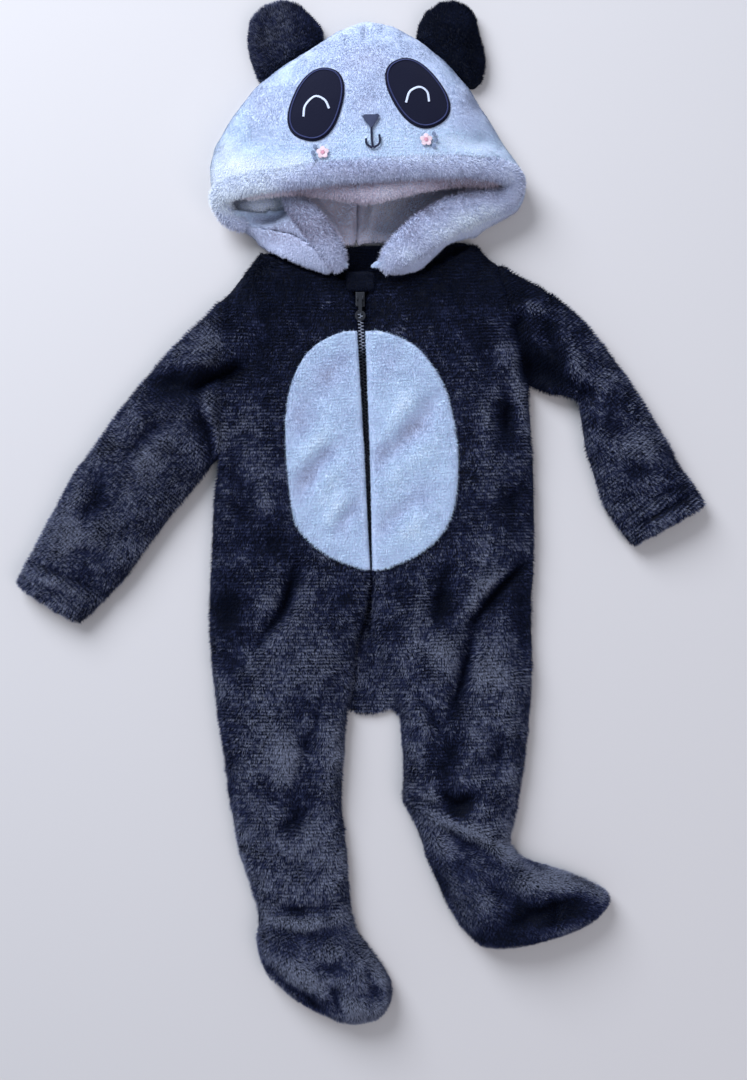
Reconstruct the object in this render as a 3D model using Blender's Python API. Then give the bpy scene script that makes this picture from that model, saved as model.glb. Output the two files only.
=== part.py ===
"""A baby's panda onesie, zipped up and laid flat on its back: every cut piece is its own cloth wall.

Plan sizes are in millimetres, X to the right, Y towards the hood, Z up from the floor.  The garment is
two layers of coral fleece with air between them.  Each panel is a grid of points on its outer face,
given a wall by moving those points inwards, so that seams meet edge to edge with a small gap.
"""
import math

import bmesh
import bpy
from mathutils import Vector

MM = 0.001
WALL = 3.0            # thickness of the fleece with its pile
GAP = 0.35            # room left between two pieces at a seam
EDGE = WALL + GAP     # height at which a front piece meets the back layer along a side seam
ROUND = 0.30          # share of a panel's width taken by the turn down to its side seam
CUFF_STEP = 1.5       # extra height of the double cloth of a turned cuff
SHARES = [0.0, 0.03, 0.09, 0.18, 0.32, 0.5, 0.68, 0.82, 0.91, 0.97, 1.0]    # places across a front panel
HOOD_SHARES = [0.0, 0.16, 0.34, 0.52, 0.70, 0.84, 0.95, 1.0]                # places from rim to side seam
TUMMY_SHARES = [0.0, 0.05, 0.16, 0.4, 0.7, 1.0]                             # places from edge to zip

COLOURS = {
    "black": (0.012, 0.014, 0.026),
    "white": (0.72, 0.78, 0.90),
    "patch": (0.018, 0.018, 0.035),
    "tape": (0.006, 0.006, 0.008),
    "plastic": (0.010, 0.010, 0.012),
}

# Front panels.  Row: outer edge x, y; inner edge x, y; crown height; outer and inner edge lift (0 on the
# floor seam, 1 at the crown); bow, how far the middle of the row hangs towards the feet.
FRONT_LEFT = [
    ("neckline", -76.0, 195.5, -9.0, 172.0, 17.0, 0.0, 1.0, 4.5),
    ("yoke", -90.0, 177.0, -4.6, 158.0, 17.5, 0.0, 1.0, 3.0),
    ("shoulder_tip", -105.0, 157.5, -3.0, 142.0, 17.5, 0.0, 1.0, 1.0),
    ("armhole_top", -105.4, 132.0, -1.5, 122.0, 17.5, 0.75, 1.0, 0.0),
    ("armhole_mid", -105.8, 104.0, 0.0, 98.0, 18.0, 0.95, 1.0, 0.0),
    ("armhole_low", -106.2, 72.0, 1.5, 69.0, 18.0, 0.75, 1.0, 0.0),
    ("underarm", -106.6, 43.0, 3.0, 42.0, 18.0, 0.0, 1.0, 0.0),
    ("waist", -112.0, 7.0, 4.0, 8.0, 18.0, 0.0, 1.0, 0.0),
    ("hip", -113.0, -24.0, 5.2, -22.0, 18.0, 0.0, 1.0, 0.0),
    ("zip_end", -114.5, -50.0, 7.0, -47.0, 18.0, 0.0, 1.0, 0.0),
    ("crotch", -115.0, -72.0, 5.0, -66.0, 18.0, 0.0, 0.55, 0.0),
    ("thigh", -114.6, -100.0, -3.5, -100.0, 18.5, 0.0, 0.12, 0.0),
    ("thigh_low", -113.0, -124.0, -7.0, -126.0, 19.0, 0.0, 0.0, 0.0),
    ("knee", -108.5, -158.0, -11.8, -162.0, 19.0, 0.0, 0.0, 0.0),
    ("shin", -103.0, -194.0, -14.3, -194.0, 18.0, 0.0, 0.0, 0.0),
    ("calf", -99.0, -225.0, -15.5, -225.0, 17.0, 0.0, 0.0, 0.0),
    ("calf_low", -92.0, -261.0, -11.5, -261.0, 18.0, 0.0, 0.0, 0.0),
    ("ankle", -76.5, -308.0, -8.5, -306.0, 16.0, 0.0, 0.0, 0.0),
]
FRONT_RIGHT = [
    ("neckline", 86.0, 201.5, 8.0, 172.0, 17.0, 0.0, 1.0, 9.5),
    ("yoke", 95.0, 192.5, 3.6, 158.0, 17.5, 0.0, 1.0, 6.0),
    ("shoulder_tip", 104.0, 183.5, 2.6, 142.0, 17.5, 0.0, 1.0, 2.0),
    ("armhole_top", 109.8, 162.0, 3.0, 122.0, 17.5, 0.75, 1.0, 0.0),
    ("armhole_mid", 115.6, 140.0, 4.0, 98.0, 18.0, 0.95, 1.0, 0.0),
    ("armhole_low", 121.4, 118.0, 5.0, 69.0, 18.0, 0.75, 1.0, 0.0),
    ("underarm", 127.0, 97.0, 6.3, 42.0, 18.0, 0.0, 1.0, 0.0),
    ("chest", 129.0, 62.0, 7.2, 22.0, 18.0, 0.0, 1.0, 0.0),
    ("waist", 131.5, 22.0, 7.6, 2.0, 18.0, 0.0, 1.0, 0.0),
    ("hip", 132.0, -18.0, 7.8, -24.0, 18.0, 0.0, 1.0, 0.0),
    ("zip_end", 131.0, -48.0, 8.6, -47.0, 18.0, 0.0, 1.0, 0.0),
    ("crotch", 129.5, -70.0, 9.0, -66.0, 18.0, 0.0, 0.55, 0.0),
    ("thigh", 130.0, -100.0, 9.0, -100.0, 18.5, 0.0, 0.12, 0.0),
    ("thigh_low", 130.0, -124.0, 20.0, -125.0, 19.0, 0.0, 0.0, 0.0),
    ("knee", 128.0, -158.0, 30.0, -158.0, 19.0, 0.0, 0.0, 0.0),
    ("shin", 124.5, -190.0, 32.0, -184.0, 19.0, 0.0, 0.0, 0.0),
    ("calf", 119.0, -225.0, 32.6, -204.0, 19.0, 0.0, 0.0, 0.0),
    ("ankle", 111.5, -256.0, 33.0, -218.0, 18.0, 0.0, 0.0, 0.0),
]
# Foot uppers, same columns as the fronts, from the ankle seam to the toe.
FOOT_LEFT = [
    ("ankle", -76.5, -309.0, -8.5, -307.0, 16.0, 0.0, 0.0, 0.0),
    ("instep", -78.5, -324.0, -4.0, -322.0, 20.0, 0.0, 0.0, 0.0),
    ("heel", -77.5, -338.0, 5.0, -334.0, 24.0, 0.0, 0.0, 0.0),
    ("arch", -70.0, -353.0, 15.0, -347.0, 26.0, 0.0, 0.0, 0.0),
    ("ball", -54.0, -367.0, 22.0, -359.0, 27.0, 0.0, 0.0, 0.0),
    ("toe_seam", -36.0, -377.5, 22.5, -370.0, 26.0, 0.0, 0.0, 0.0),
    ("toe", -20.0, -385.0, 18.0, -379.0, 21.0, 0.0, 0.0, 0.0),
    ("toe_front", -9.0, -387.6, 13.0, -383.5, 15.0, 0.0, 0.0, 0.0),
    ("toe_end", -3.0, -388.0, 8.5, -385.6, EDGE + 0.8, 0.0, 0.0, 0.0),
]
FOOT_RIGHT = [
    ("ankle", 112.0, -257.0, 33.0, -219.5, 18.0, 0.0, 0.0, 0.0),
    ("instep", 122.0, -266.5, 45.0, -248.0, 22.0, 0.0, 0.0, 0.0),
    ("heel", 133.0, -270.0, 54.5, -274.0, 26.0, 0.0, 0.0, 0.0),
    ("arch", 143.0, -272.7, 64.5, -297.0, 28.0, 0.0, 0.0, 0.0),
    ("waist", 152.0, -275.7, 76.0, -316.5, 29.0, 0.0, 0.0, 0.0),
    ("ball", 161.0, -279.0, 90.0, -330.5, 29.0, 0.0, 0.0, 0.0),
    ("toe_seam", 170.0, -282.7, 112.0, -330.7, 28.0, 0.0, 0.0, 0.0),
    ("toe", 179.0, -287.0, 138.0, -325.0, 25.0, 0.0, 0.0, 0.0),
    ("toe_tip", 185.5, -291.5, 160.0, -318.0, 20.0, 0.0, 0.0, 0.0),
    ("toe_front", 187.5, -295.0, 172.0, -312.5, 14.0, 0.0, 0.0, 0.0),
    ("toe_end", 188.0, -298.5, 181.0, -307.0, EDGE + 0.8, 0.0, 0.0, 0.0),
]
SIDE_SHARE = 0.42     # how high a sleeve's side is widest, as a share of its height
LEAST_TURN = 2.0      # tightest turn of the cloth at a sleeve's side
# Sleeves.  Row: upper edge x, y; under edge x, y; height of the tube; extra height of a turned cuff.
SLEEVE_LEFT = [
    ("armhole", -105.6, 157.5, -107.3, 43.0, 17.0, 0.0),
    ("cap", -126.0, 138.0, -116.5, 31.0, 19.0, 0.0),
    ("upper", -144.0, 121.0, -129.5, 14.0, 19.0, 0.0),
    ("biceps", -160.0, 102.0, -142.0, 0.0, 18.0, 0.0),
    ("elbow", -178.0, 81.0, -155.0, -18.0, 18.0, 0.0),
    ("forearm", -197.0, 54.0, -166.0, -32.0, 18.0, 0.0),
    ("forearm_low", -217.0, 27.0, -178.0, -50.0, 18.0, 0.0),
    ("wrist", -238.0, -12.0, -193.0, -66.0, 17.0, 0.0),
    ("cuff_seam", -252.0, -38.0, -202.0, -75.0, 16.0, 0.0),
    ("cuff", -253.0, -40.5, -203.0, -76.5, 16.0, CUFF_STEP),
    ("cuff_end", -261.0, -56.0, -214.0, -86.0, 15.0, CUFF_STEP),
]
SLEEVE_RIGHT = [
    ("armhole", 104.7, 184.0, 127.8, 97.5, 17.0, 0.0),
    ("cap", 128.0, 172.0, 134.0, 92.0, 20.0, 0.0),
    ("upper", 150.0, 158.0, 144.5, 88.0, 22.0, 0.0),
    ("biceps", 167.0, 143.0, 155.0, 86.5, 23.0, 0.0),
    ("elbow", 184.0, 122.0, 165.5, 83.0, 22.0, 0.0),
    ("forearm", 200.0, 101.0, 168.5, 66.0, 20.0, 0.0),
    ("forearm_low", 215.0, 78.0, 171.0, 48.0, 19.0, 0.0),
    ("wrist", 231.0, 52.0, 179.0, 22.0, 18.0, 0.0),
    ("wrist_low", 242.0, 31.0, 186.5, 0.0, 17.0, 0.0),
    ("cuff_seam", 251.0, 20.0, 194.0, -10.0, 16.0, 0.0),
    ("cuff", 252.5, 18.0, 195.5, -12.5, 16.0, CUFF_STEP),
    ("cuff_end", 261.0, 4.0, 206.0, -27.0, 16.0, CUFF_STEP),
]
# Hood, a ring of stations from the left front neck over the crown to the right front neck.
# Row: rim x, y, z; side seam x, y, z; neck seam x, y, z.
HOOD = [
    ("front_left", -10.0, 181.0, 26.0, -19.5, 178.5, 27.0, -25.0, 175.5, 20.5),
    ("strip_left", -18.5, 200.0, 30.0, -31.0, 190.0, 31.0, -41.0, 180.5, 20.5),
    ("fold_left", -33.0, 217.0, 28.0, -52.0, 205.0, 27.0, -60.5, 189.0, 20.5),
    ("cheek_left", -60.0, 226.0, 20.0, -80.0, 212.0, 14.0, -77.5, 199.5, 8.0),
    ("corner_left", -98.0, 221.5, 21.0, -106.0, 223.0, 13.0, -63.0, 199.0, 0.0),
    ("turn_left", -99.0, 229.0, 27.0, -113.0, 247.0, 11.0, -54.0, 200.5, 0.0),
    ("temple_left", -77.0, 233.5, 36.0, -110.0, 274.0, 9.0, -45.0, 201.5, 0.0),
    ("brow_left", -44.0, 237.0, 42.0, -80.0, 319.0, 9.0, -30.0, 201.8, 0.0),
    ("crown_left", -20.0, 239.5, 44.0, -38.0, 348.5, 9.0, -17.0, 202.1, 0.0),
    ("crown", 3.5, 241.0, 45.0, 3.0, 370.0, 9.0, -4.0, 202.6, 0.0),
    ("crown_right", 28.0, 243.0, 45.0, 44.0, 355.0, 9.0, 12.0, 204.0, 0.0),
    ("brow_right", 52.0, 244.5, 43.0, 80.0, 320.5, 9.0, 34.0, 206.0, 0.0),
    ("temple_right", 83.0, 246.0, 37.0, 107.0, 276.0, 9.0, 50.0, 206.5, 0.0),
    ("turn_right", 106.0, 246.0, 27.0, 124.0, 250.0, 11.0, 62.0, 206.5, 0.0),
    ("corner_right", 108.0, 235.0, 21.0, 119.0, 228.0, 13.0, 74.0, 206.5, 0.0),
    ("cheek_right", 74.0, 235.0, 22.0, 96.0, 217.5, 14.0, 87.0, 206.0, 8.0),
    ("fold_right", 49.0, 221.0, 28.0, 63.0, 207.0, 27.0, 66.0, 198.5, 20.5),
    ("strip_right", 29.0, 200.0, 30.0, 39.0, 189.0, 31.0, 45.0, 179.0, 20.5),
    ("front_right", 8.0, 181.0, 26.0, 17.5, 178.5, 27.0, 23.0, 175.0, 20.5),
]
HOOD_STEPS = 2        # smooth rows made for each stretch between two stations
FIRST_ARCHED = 4 * HOOD_STEPS      # rows whose back layer lies on the floor, first and last
LAST_ARCHED = 14 * HOOD_STEPS
CROWN = 9 * HOOD_STEPS             # row where the two back halves meet
NAPE_DROP = 1.6       # how far the back's neckline stays below the hood's
# Low crotch of the back piece, between the two legs, and the first row below it on each inner leg.
CROTCH = [(-13.0, -150.0), (-5.0, -155.0), (10.0, -156.0), (23.0, -152.0)]
KNEE_LEFT = 13
KNEE_RIGHT = 14
# Largest folds of the legs: soft valleys.  Row: start x, y; end x, y; half width; depth.
VALLEYS = [
    ("left_thigh", -54.0, -56.0, -82.0, -104.0, 12.0, 4.0),
    ("left_shin", -40.0, -228.0, -56.0, -236.0, 14.0, 4.0),
    ("right_thigh", 112.0, -48.0, 80.0, -108.0, 13.0, 4.0),
    ("right_knee", 80.0, -108.0, 69.0, -152.0, 12.0, 4.0),
    ("right_inner", 55.0, -62.0, 53.0, -92.0, 10.0, 3.0),
]
# Outlines of the two ears, from the root on the hood's seam round the lobe and back to the root.
EAR_LEFT = [(-77.0, 326.0), (-84.0, 343.0), (-85.5, 358.0), (-83.5, 372.0), (-75.0, 381.5), (-61.0, 386.0),
            (-48.0, 384.0), (-39.0, 375.5), (-30.0, 365.0), (-28.5, 355.5), (-45.0, 347.5), (-62.0, 336.5)]
EAR_RIGHT = [(42.5, 358.5), (44.0, 368.0), (49.0, 377.5), (59.0, 384.5), (70.0, 386.0), (80.5, 382.0),
             (86.5, 374.5), (88.5, 362.0), (92.5, 350.0), (93.5, 338.0), (92.0, 326.5), (84.5, 320.5),
             (70.0, 334.0), (57.0, 346.5)]
EAR_THICK = 14.0
EAR_RINGS = (1.0, 0.96, 0.86, 0.70, 0.45, 0.2)      # shares of the outline from the seam to the middle
EAR_REACH = 26.0      # distance from an ear's middle to its edge, to give its cloth the wall
# Tummy patch: an oval of two halves, one on each front.  Row: y, left edge x, right edge x.
TUMMY = [
    (133.5, -9.0, 12.0),
    (130.0, -22.0, 25.0),
    (122.0, -36.0, 41.0),
    (110.0, -46.0, 52.0),
    (94.0, -53.0, 62.0),
    (75.0, -56.0, 69.0),
    (52.0, -56.5, 72.0),
    (28.0, -54.5, 73.0),
    (6.0, -52.5, 71.0),
    (-10.0, -49.0, 65.5),
    (-24.0, -39.0, 56.0),
    (-35.0, -24.0, 41.0),
    (-42.0, -7.0, 25.0),
]
TUMMY_THICK = 2.4
# Eye patches: centre x, y, half width, half height, turn in degrees.
EYE_PATCHES = [("left", -32.3, 297.5, 19.8, 30.0, -14.0), ("right", 41.5, 306.0, 21.5, 29.8, 27.0)]
PATCH_THICK = 1.2
PATCH_LIFT = 1.0

ZIP_TOP = 150.0
ZIP_END = -45.0
ZIP_X = [(172.0, -0.5), (158.0, -0.5), (142.0, -0.2), (98.0, 2.0), (42.0, 4.65), (8.0, 5.9), (-47.0, 7.8)]
CHAIN_TOP_WIDTH = 3.4
CHAIN_END_WIDTH = 0.6
CHAIN_THICK = 2.0
TAPE_WIDTH = 11.0
TAPE_THICK = 0.8
SLIDER_Y = 157.0
SLIDER_SIZE = (7.0, 11.0, 3.0)
SLIDER_TOP = 20.75
HINGE_Y = 157.5       # the pull tab's pin, across the slider's lugs
HINGE_Z = 22.3
LUG_WIDTH = 1.0
LUG_LENGTH = 2.4
LUG_RISE = 0.9        # how far the lugs stand above the pin
LUG_GAP = 0.35
PULL_NECK = 2.6
PULL_LENGTH = 17.0
PULL_THICK = 1.4
RING_OUTER = 4.0
RING_INNER = 2.2
RING_STEPS = 14
RING_START = 125.0    # the ring's outline leaves the neck here and runs round to the other side
RING_SWEEP = 290.0
RING_NECK = 3.2       # how far above the ring's middle the neck's sides end
HOLE_SIDES = 12
GUARD = (-10.5, 9.5, 164.5, 177.5)
GUARD_MIDDLE = 19.4
GUARD_THICK = 3.0


def clear_scene():
    for thing in list(bpy.data.objects):
        bpy.data.objects.remove(thing, do_unlink=True)


def material(name):
    found = bpy.data.materials.get(name)
    if found:
        return found
    made = bpy.data.materials.new(name)
    made.use_nodes = True
    shader = made.node_tree.nodes["Principled BSDF"]
    shader.inputs["Base Color"].default_value = (*COLOURS[name], 1.0)
    shader.inputs["Roughness"].default_value = 0.35 if name == "plastic" else 0.9
    return made


def add_object(name, points, faces, colour):
    """One closed body from points in millimetres; its faces are turned to point outwards."""
    mesh = bpy.data.meshes.new(name)
    mesh.from_pydata([Vector(p) * MM for p in points], [], faces)
    body = bmesh.new()
    body.from_mesh(mesh)
    bmesh.ops.recalc_face_normals(body, faces=body.faces)
    if body.calc_volume(signed=True) < 0.0:
        bmesh.ops.reverse_faces(body, faces=body.faces)
    bmesh.ops.triangulate(body, faces=body.faces)
    body.to_mesh(mesh)
    body.free()
    mesh.materials.append(material(colour))
    made = bpy.data.objects.new(name, mesh)
    bpy.context.collection.objects.link(made)
    return made


def grid_normals(grid):
    """Unit normals of a grid of points, on the side that looks up or out."""
    rows = len(grid)
    cols = len(grid[0])
    normals = []
    for r in range(rows):
        line = []
        for c in range(cols):
            along = Vector(grid[min(r + 1, rows - 1)][c]) - Vector(grid[max(r - 1, 0)][c])
            across = Vector(grid[r][min(c + 1, cols - 1)]) - Vector(grid[r][max(c - 1, 0)])
            line.append(along.cross(across).normalized())
        normals.append(line)
    return normals


def inner_face(grid, lowest=0.0, flip=False):
    """The grid of the inner face of a cloth wall, one wall in from its outer face."""
    sign = -1.0 if flip else 1.0
    inner = []
    for line, normal_line in zip(grid, grid_normals(grid)):
        moved = [Vector(point) - normal * WALL * sign for point, normal in zip(line, normal_line)]
        for point in moved:
            point.z = max(point.z, lowest)
        inner.append(moved)
    return inner


def wall_panel(name, grid, inner, colour):
    """A cloth wall closed between its outer and its inner face."""
    rows = len(grid)
    cols = len(grid[0])
    points = [Vector(p) for line in grid for p in line] + [Vector(p) for line in inner for p in line]
    shift = rows * cols
    faces = []
    for r in range(rows - 1):
        for c in range(cols - 1):
            a = r * cols + c
            faces.append((a, a + 1, a + cols + 1, a + cols))
            faces.append((shift + a, shift + a + cols, shift + a + cols + 1, shift + a + 1))
    border = [c for c in range(cols)]
    border += [r * cols + cols - 1 for r in range(1, rows)]
    border += [(rows - 1) * cols + c for c in range(cols - 2, -1, -1)]
    border += [r * cols for r in range(rows - 2, 0, -1)]
    for here, there in zip(border, border[1:] + border[:1]):
        faces.append((there, here, here + shift, there + shift))
    return add_object(name, points, faces, colour)


def turn_down(share):
    """Height share of a rounded side: 0 at the seam, 1 once past the turn."""
    inward = 1.0 - min(share / ROUND, 1.0)
    return math.sqrt(1.0 - inward * inward)


def lifted(rise, lift):
    return lift + (1.0 - lift) * rise


def valley_depth(x, y):
    """How far the cloth sinks at a place in plan, from the valleys near it."""
    depth = 0.0
    here = Vector((x, y))
    for _, start_x, start_y, end_x, end_y, half_width, deepest in VALLEYS:
        start = Vector((start_x, start_y))
        run = Vector((end_x, end_y)) - start
        along = min(max((here - start).dot(run) / run.length_squared, 0.0), 1.0)
        away = (here - start - run * along).length / half_width
        depth = max(depth, deepest * math.exp(-away * away))
    return depth


def shell_point(table, row, share):
    """Point on a front or foot panel: row counts stations, share runs from the outer edge to the inner."""
    low = max(min(int(row), len(table) - 2), 0)
    part = row - low
    values = [a + (b - a) * part for a, b in zip(table[low][1:], table[low + 1][1:])]
    outer_x, outer_y, inner_x, inner_y, crown, outer_lift, inner_lift, bow = values
    x = outer_x + (inner_x - outer_x) * share
    y = outer_y + (inner_y - outer_y) * share - bow * 4.0 * share * (1.0 - share)
    rise = lifted(turn_down(share), outer_lift) * lifted(turn_down(1.0 - share), inner_lift)
    return Vector((x, y, EDGE + (crown - EDGE) * rise - valley_depth(x, y) * turn_down(share) ** 3))


def shell_panel(name, table, colour, mirrored):
    grid = [[shell_point(table, row, share) for share in SHARES] for row in range(len(table))]
    return wall_panel(name, grid, inner_face(grid, EDGE, mirrored), colour)


def flat_piece(name, outline, colour, low=0.0, high=WALL):
    """A layer of cloth lying on the floor, cut to an outline."""
    count = len(outline)
    points = [Vector((x, y, low)) for x, y in outline] + [Vector((x, y, high)) for x, y in outline]
    faces = [tuple(range(count - 1, -1, -1)), tuple(range(count, 2 * count))]
    for k in range(count):
        after = (k + 1) % count
        faces.append((k, after, after + count, k + count))
    return add_object(name, points, faces, colour)


def sides(table, first=0, last=None):
    last = len(table) - 1 if last is None else last
    outer = [(row[1], row[2]) for row in table[first:last + 1]]
    inner = [(row[3], row[4]) for row in table[first:last + 1]]
    return outer, inner


def make_back():
    """Back of the body, seat and both legs in one piece, with the low crotch of a footed sleepsuit."""
    left_outer, left_inner = sides(FRONT_LEFT)
    right_outer, right_inner = sides(FRONT_RIGHT)
    nape = [(row[6], row[7] - NAPE_DROP) for row in HOOD_ROWS[FIRST_ARCHED:LAST_ARCHED + 1]]
    outline = left_outer
    outline += left_inner[:KNEE_LEFT - 1:-1]
    outline += CROTCH
    outline += right_inner[KNEE_RIGHT:]
    outline += right_outer[::-1]
    outline += nape[::-1]
    return flat_piece("back", outline, "black")


def make_foot(side, table, mirrored):
    outer, inner = sides(table)
    flat_piece(f"foot_sole_{side}", outer + inner[::-1], "black")
    shell_panel(f"foot_upper_{side}", table, "black", mirrored)


def sleeve_ring(row, inset):
    """Section round a sleeve lying flat: flat below, rounded at both edges, domed above."""
    _, top_x, top_y, under_x, under_y, height, extra = row
    top = Vector((top_x, top_y, 0.0))
    under = Vector((under_x, under_y, 0.0))
    half = (under - top).length / 2.0 - inset
    middle = (top + under) / 2.0
    across = (under - top).normalized()
    height = height + extra
    side = height * SIDE_SHARE
    low = inset
    high = height - inset
    turn = max(side - inset, LEAST_TURN)
    section = []
    for angle in (0, 30, 60, 90):
        a = math.radians(angle)
        section.append((half - turn * (1.0 - math.sin(a)), side - (side - low) * math.cos(a)))
    for angle in (30, 52, 70):
        a = math.radians(angle)
        section.append((half * math.cos(a) ** 0.75, side + (high - side) * math.sin(a)))
    ring = section + [(0.0, high)] + [(-u, z) for u, z in section[::-1]]
    return [middle + across * u + Vector((0.0, 0.0, z)) for u, z in ring]


def make_sleeve(side, table):
    """A sleeve is one closed tube of cloth, open at the armhole and at its turned cuff."""
    outer = [sleeve_ring(row, 0.0) for row in table]
    inner = [sleeve_ring(row, WALL + row[6]) for row in table]
    count = len(outer[0])
    rows = len(table)
    points = [p for ring in outer for p in ring] + [p for ring in inner for p in ring]
    shift = rows * count
    faces = []
    for r in range(rows - 1):
        for c in range(count):
            a = r * count + c
            b = r * count + (c + 1) % count
            faces.append((a, b, b + count, a + count))
            faces.append((shift + a, shift + a + count, shift + b + count, shift + b))
    for c in range(count):
        after = (c + 1) % count
        faces.append((after, c, c + shift, after + shift))
        last = (rows - 1) * count
        faces.append((last + c, last + after, last + after + shift, last + c + shift))
    return add_object(f"sleeve_{side}", points, faces, "black")


def smooth_rows(table, steps):
    """Rows on a smooth curve through a table's stations, with a few steps between two of them."""
    rows = []
    last = len(table) - 1
    for k in range(last):
        p0, p1, p2, p3 = (table[min(max(k + n, 0), last)][1:] for n in (-1, 0, 1, 2))
        for step in range(steps):
            t = step / steps
            rows.append([0.5 * (2 * b + (c - a) * t + (2 * a - 5 * b + 4 * c - d) * t * t
                                + (3 * b - a - 3 * c + d) * t ** 3) for a, b, c, d in zip(p0, p1, p2, p3)])
    rows.append(list(table[last][1:]))
    return rows


HOOD_ROWS = smooth_rows(HOOD, HOOD_STEPS)


def hood_point(row, share):
    """Point on the face panel: row counts smooth hood rows, share runs from the rim to the side seam."""
    low = max(min(int(row), len(HOOD_ROWS) - 2), 0)
    part = row - low
    values = [a + (b - a) * part for a, b in zip(HOOD_ROWS[low], HOOD_ROWS[low + 1])]
    rim = Vector(values[0:3])
    seam = Vector(values[3:6])
    flat = rim.lerp(seam, share)
    fall = 1.0 - (1.0 - share ** 2.2) ** 0.62
    flat.z = rim.z + (seam.z + GAP - rim.z) * fall
    return flat


def face_grid():
    return [[hood_point(row, share) for share in HOOD_SHARES] for row in range(len(HOOD_ROWS))]


def hood_back_line(row):
    """Line down one back half of the hood, from the side seam to the neck seam."""
    _, _, _, seam_x, seam_y, seam_z, neck_x, neck_y, neck_z = HOOD_ROWS[row]
    seam = Vector((seam_x, seam_y, seam_z))
    neck = Vector((neck_x, neck_y, neck_z))
    if FIRST_ARCHED <= row <= LAST_ARCHED:
        flat = (neck - seam).to_2d().normalized().to_3d()
        line = [seam]
        for inset, height in ((1.2, 0.30), (4.0, 0.06), (9.0, 0.0)):
            line.append(Vector((seam.x, seam.y, seam.z * height)) + flat * inset)
        start = Vector((seam.x, seam.y, 0.0)) + flat * 9.0
        for part in (0.25, 0.5, 0.75, 1.0):
            line.append(start.lerp(Vector((neck.x, neck.y, 0.0)), part))
        return line
    return [seam.lerp(neck, part) for part in (0.0, 0.1, 0.2, 0.35, 0.5, 0.65, 0.85, 1.0)]


def mitre(face, face_inner, back, back_inner):
    """Part the face and the back along their common seam, on the plane that halves the turn there."""
    face_normals = grid_normals(face)
    back_normals = grid_normals(back)
    for row in range(len(HOOD_ROWS)):
        seam = face[row][-1].copy()
        out_face = face_normals[row][-1]
        out_back = back_normals[row][0]
        out = (out_face + out_back).normalized()
        depth = WALL / max(out.dot(out_face), 0.6)
        inside = seam - out * depth
        towards_face = face[row][-2] - back[row][1]
        towards_face = (towards_face - out * towards_face.dot(out)).normalized()
        half_gap = GAP / 2.0 if FIRST_ARCHED <= row <= LAST_ARCHED else GAP
        face[row][-1] = seam + towards_face * half_gap
        face_inner[row][-1] = inside + towards_face * half_gap
        back[row][0] = seam - towards_face * half_gap
        back_inner[row][0] = inside - towards_face * half_gap


def make_hood():
    """Face panel with its forehead and cheeks in one piece, and two back halves with a centre seam."""
    face = face_grid()
    back = [hood_back_line(row) for row in range(len(HOOD_ROWS))]
    face_inner = inner_face(face)
    back_inner = inner_face(back)
    mitre(face, face_inner, back, back_inner)
    wall_panel("hood_face", face, face_inner, "white")
    for side, first, last, nudge in (("left", 0, CROWN, -GAP / 2.0), ("right", CROWN, len(HOOD_ROWS) - 1, GAP / 2.0)):
        outer = [[p.copy() for p in line] for line in back[first:last + 1]]
        inner = [[p.copy() for p in line] for line in back_inner[first:last + 1]]
        seam_row = 0 if first == CROWN else last - first
        for outer_point, inner_point in zip(outer[seam_row], inner[seam_row]):
            outer_point.x += nudge
            inner_point.x = outer_point.x
        wall_panel(f"hood_back_{side}", outer, inner, "white")


def dome_rings(outline, rise):
    """Rings from an outline in to its middle, with the height of a softly filled ear at each."""
    middle = Vector((sum(x for x, _ in outline), sum(y for _, y in outline), 0.0)) / len(outline)
    rings = []
    for scale in EAR_RINGS:
        height = rise * math.sqrt(1.0 - scale ** 4)
        rings.append([middle + (Vector((x, y, 0.0)) - middle) * scale + Vector((0, 0, height)) for x, y in outline])
    return middle, rings


def make_ear(side, outline):
    """An ear is two layers of cloth sewn round the lobe: a domed front on a flat back."""
    base = WALL + GAP
    flat_piece(f"ear_back_{side}", outline, "black")
    points = []
    faces = []
    count = len(outline)
    for inset, rise in ((0.0, EAR_THICK - base), (WALL, EAR_THICK - base - WALL)):
        middle, rings = dome_rings(outline, rise)
        start = len(points)
        shrink = 1.0 - inset / EAR_REACH
        for ring in rings:
            for p in ring:
                moved = middle + (p - middle) * shrink
                points.append(Vector((moved.x, moved.y, base + p.z)))
        points.append(Vector((middle.x, middle.y, base + rise)))
        for r in range(len(rings) - 1):
            for c in range(count):
                a = start + r * count + c
                b = start + r * count + (c + 1) % count
                faces.append((a, b, b + count, a + count))
        last = start + (len(rings) - 1) * count
        for c in range(count):
            faces.append((last + c, last + (c + 1) % count, start + len(rings) * count))
    half = len(points) // 2
    for c in range(count):
        after = (c + 1) % count
        faces.append((after, c, c + half, after + half))
    # The inner shell faces the other way; recalculating the normals turns it.
    return add_object(f"ear_front_{side}", points, faces, "black")


def find_row(table, y):
    """Station number at which the inner part of a front panel reaches a height y."""
    for row in range(len(table) - 1):
        upper = table[row][4]
        lower = table[row + 1][4]
        if lower <= y <= upper:
            return row + (upper - y) / (upper - lower)
    return 0.0


def on_front(table, x, y):
    """Point of a front panel under a place in plan."""
    row = find_row(table, y)
    share = 0.7
    for _ in range(12):
        point = shell_point(table, row, share)
        edge = shell_point(table, row, 0.0)
        middle = shell_point(table, row, 1.0)
        share = min(max(share + (x - point.x) / (middle.x - edge.x), 0.0), 1.0)
        row += (point.y - y) / 25.0
        row = max(min(row, len(table) - 1.001), 0.0)
    return shell_point(table, row, share)


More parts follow.
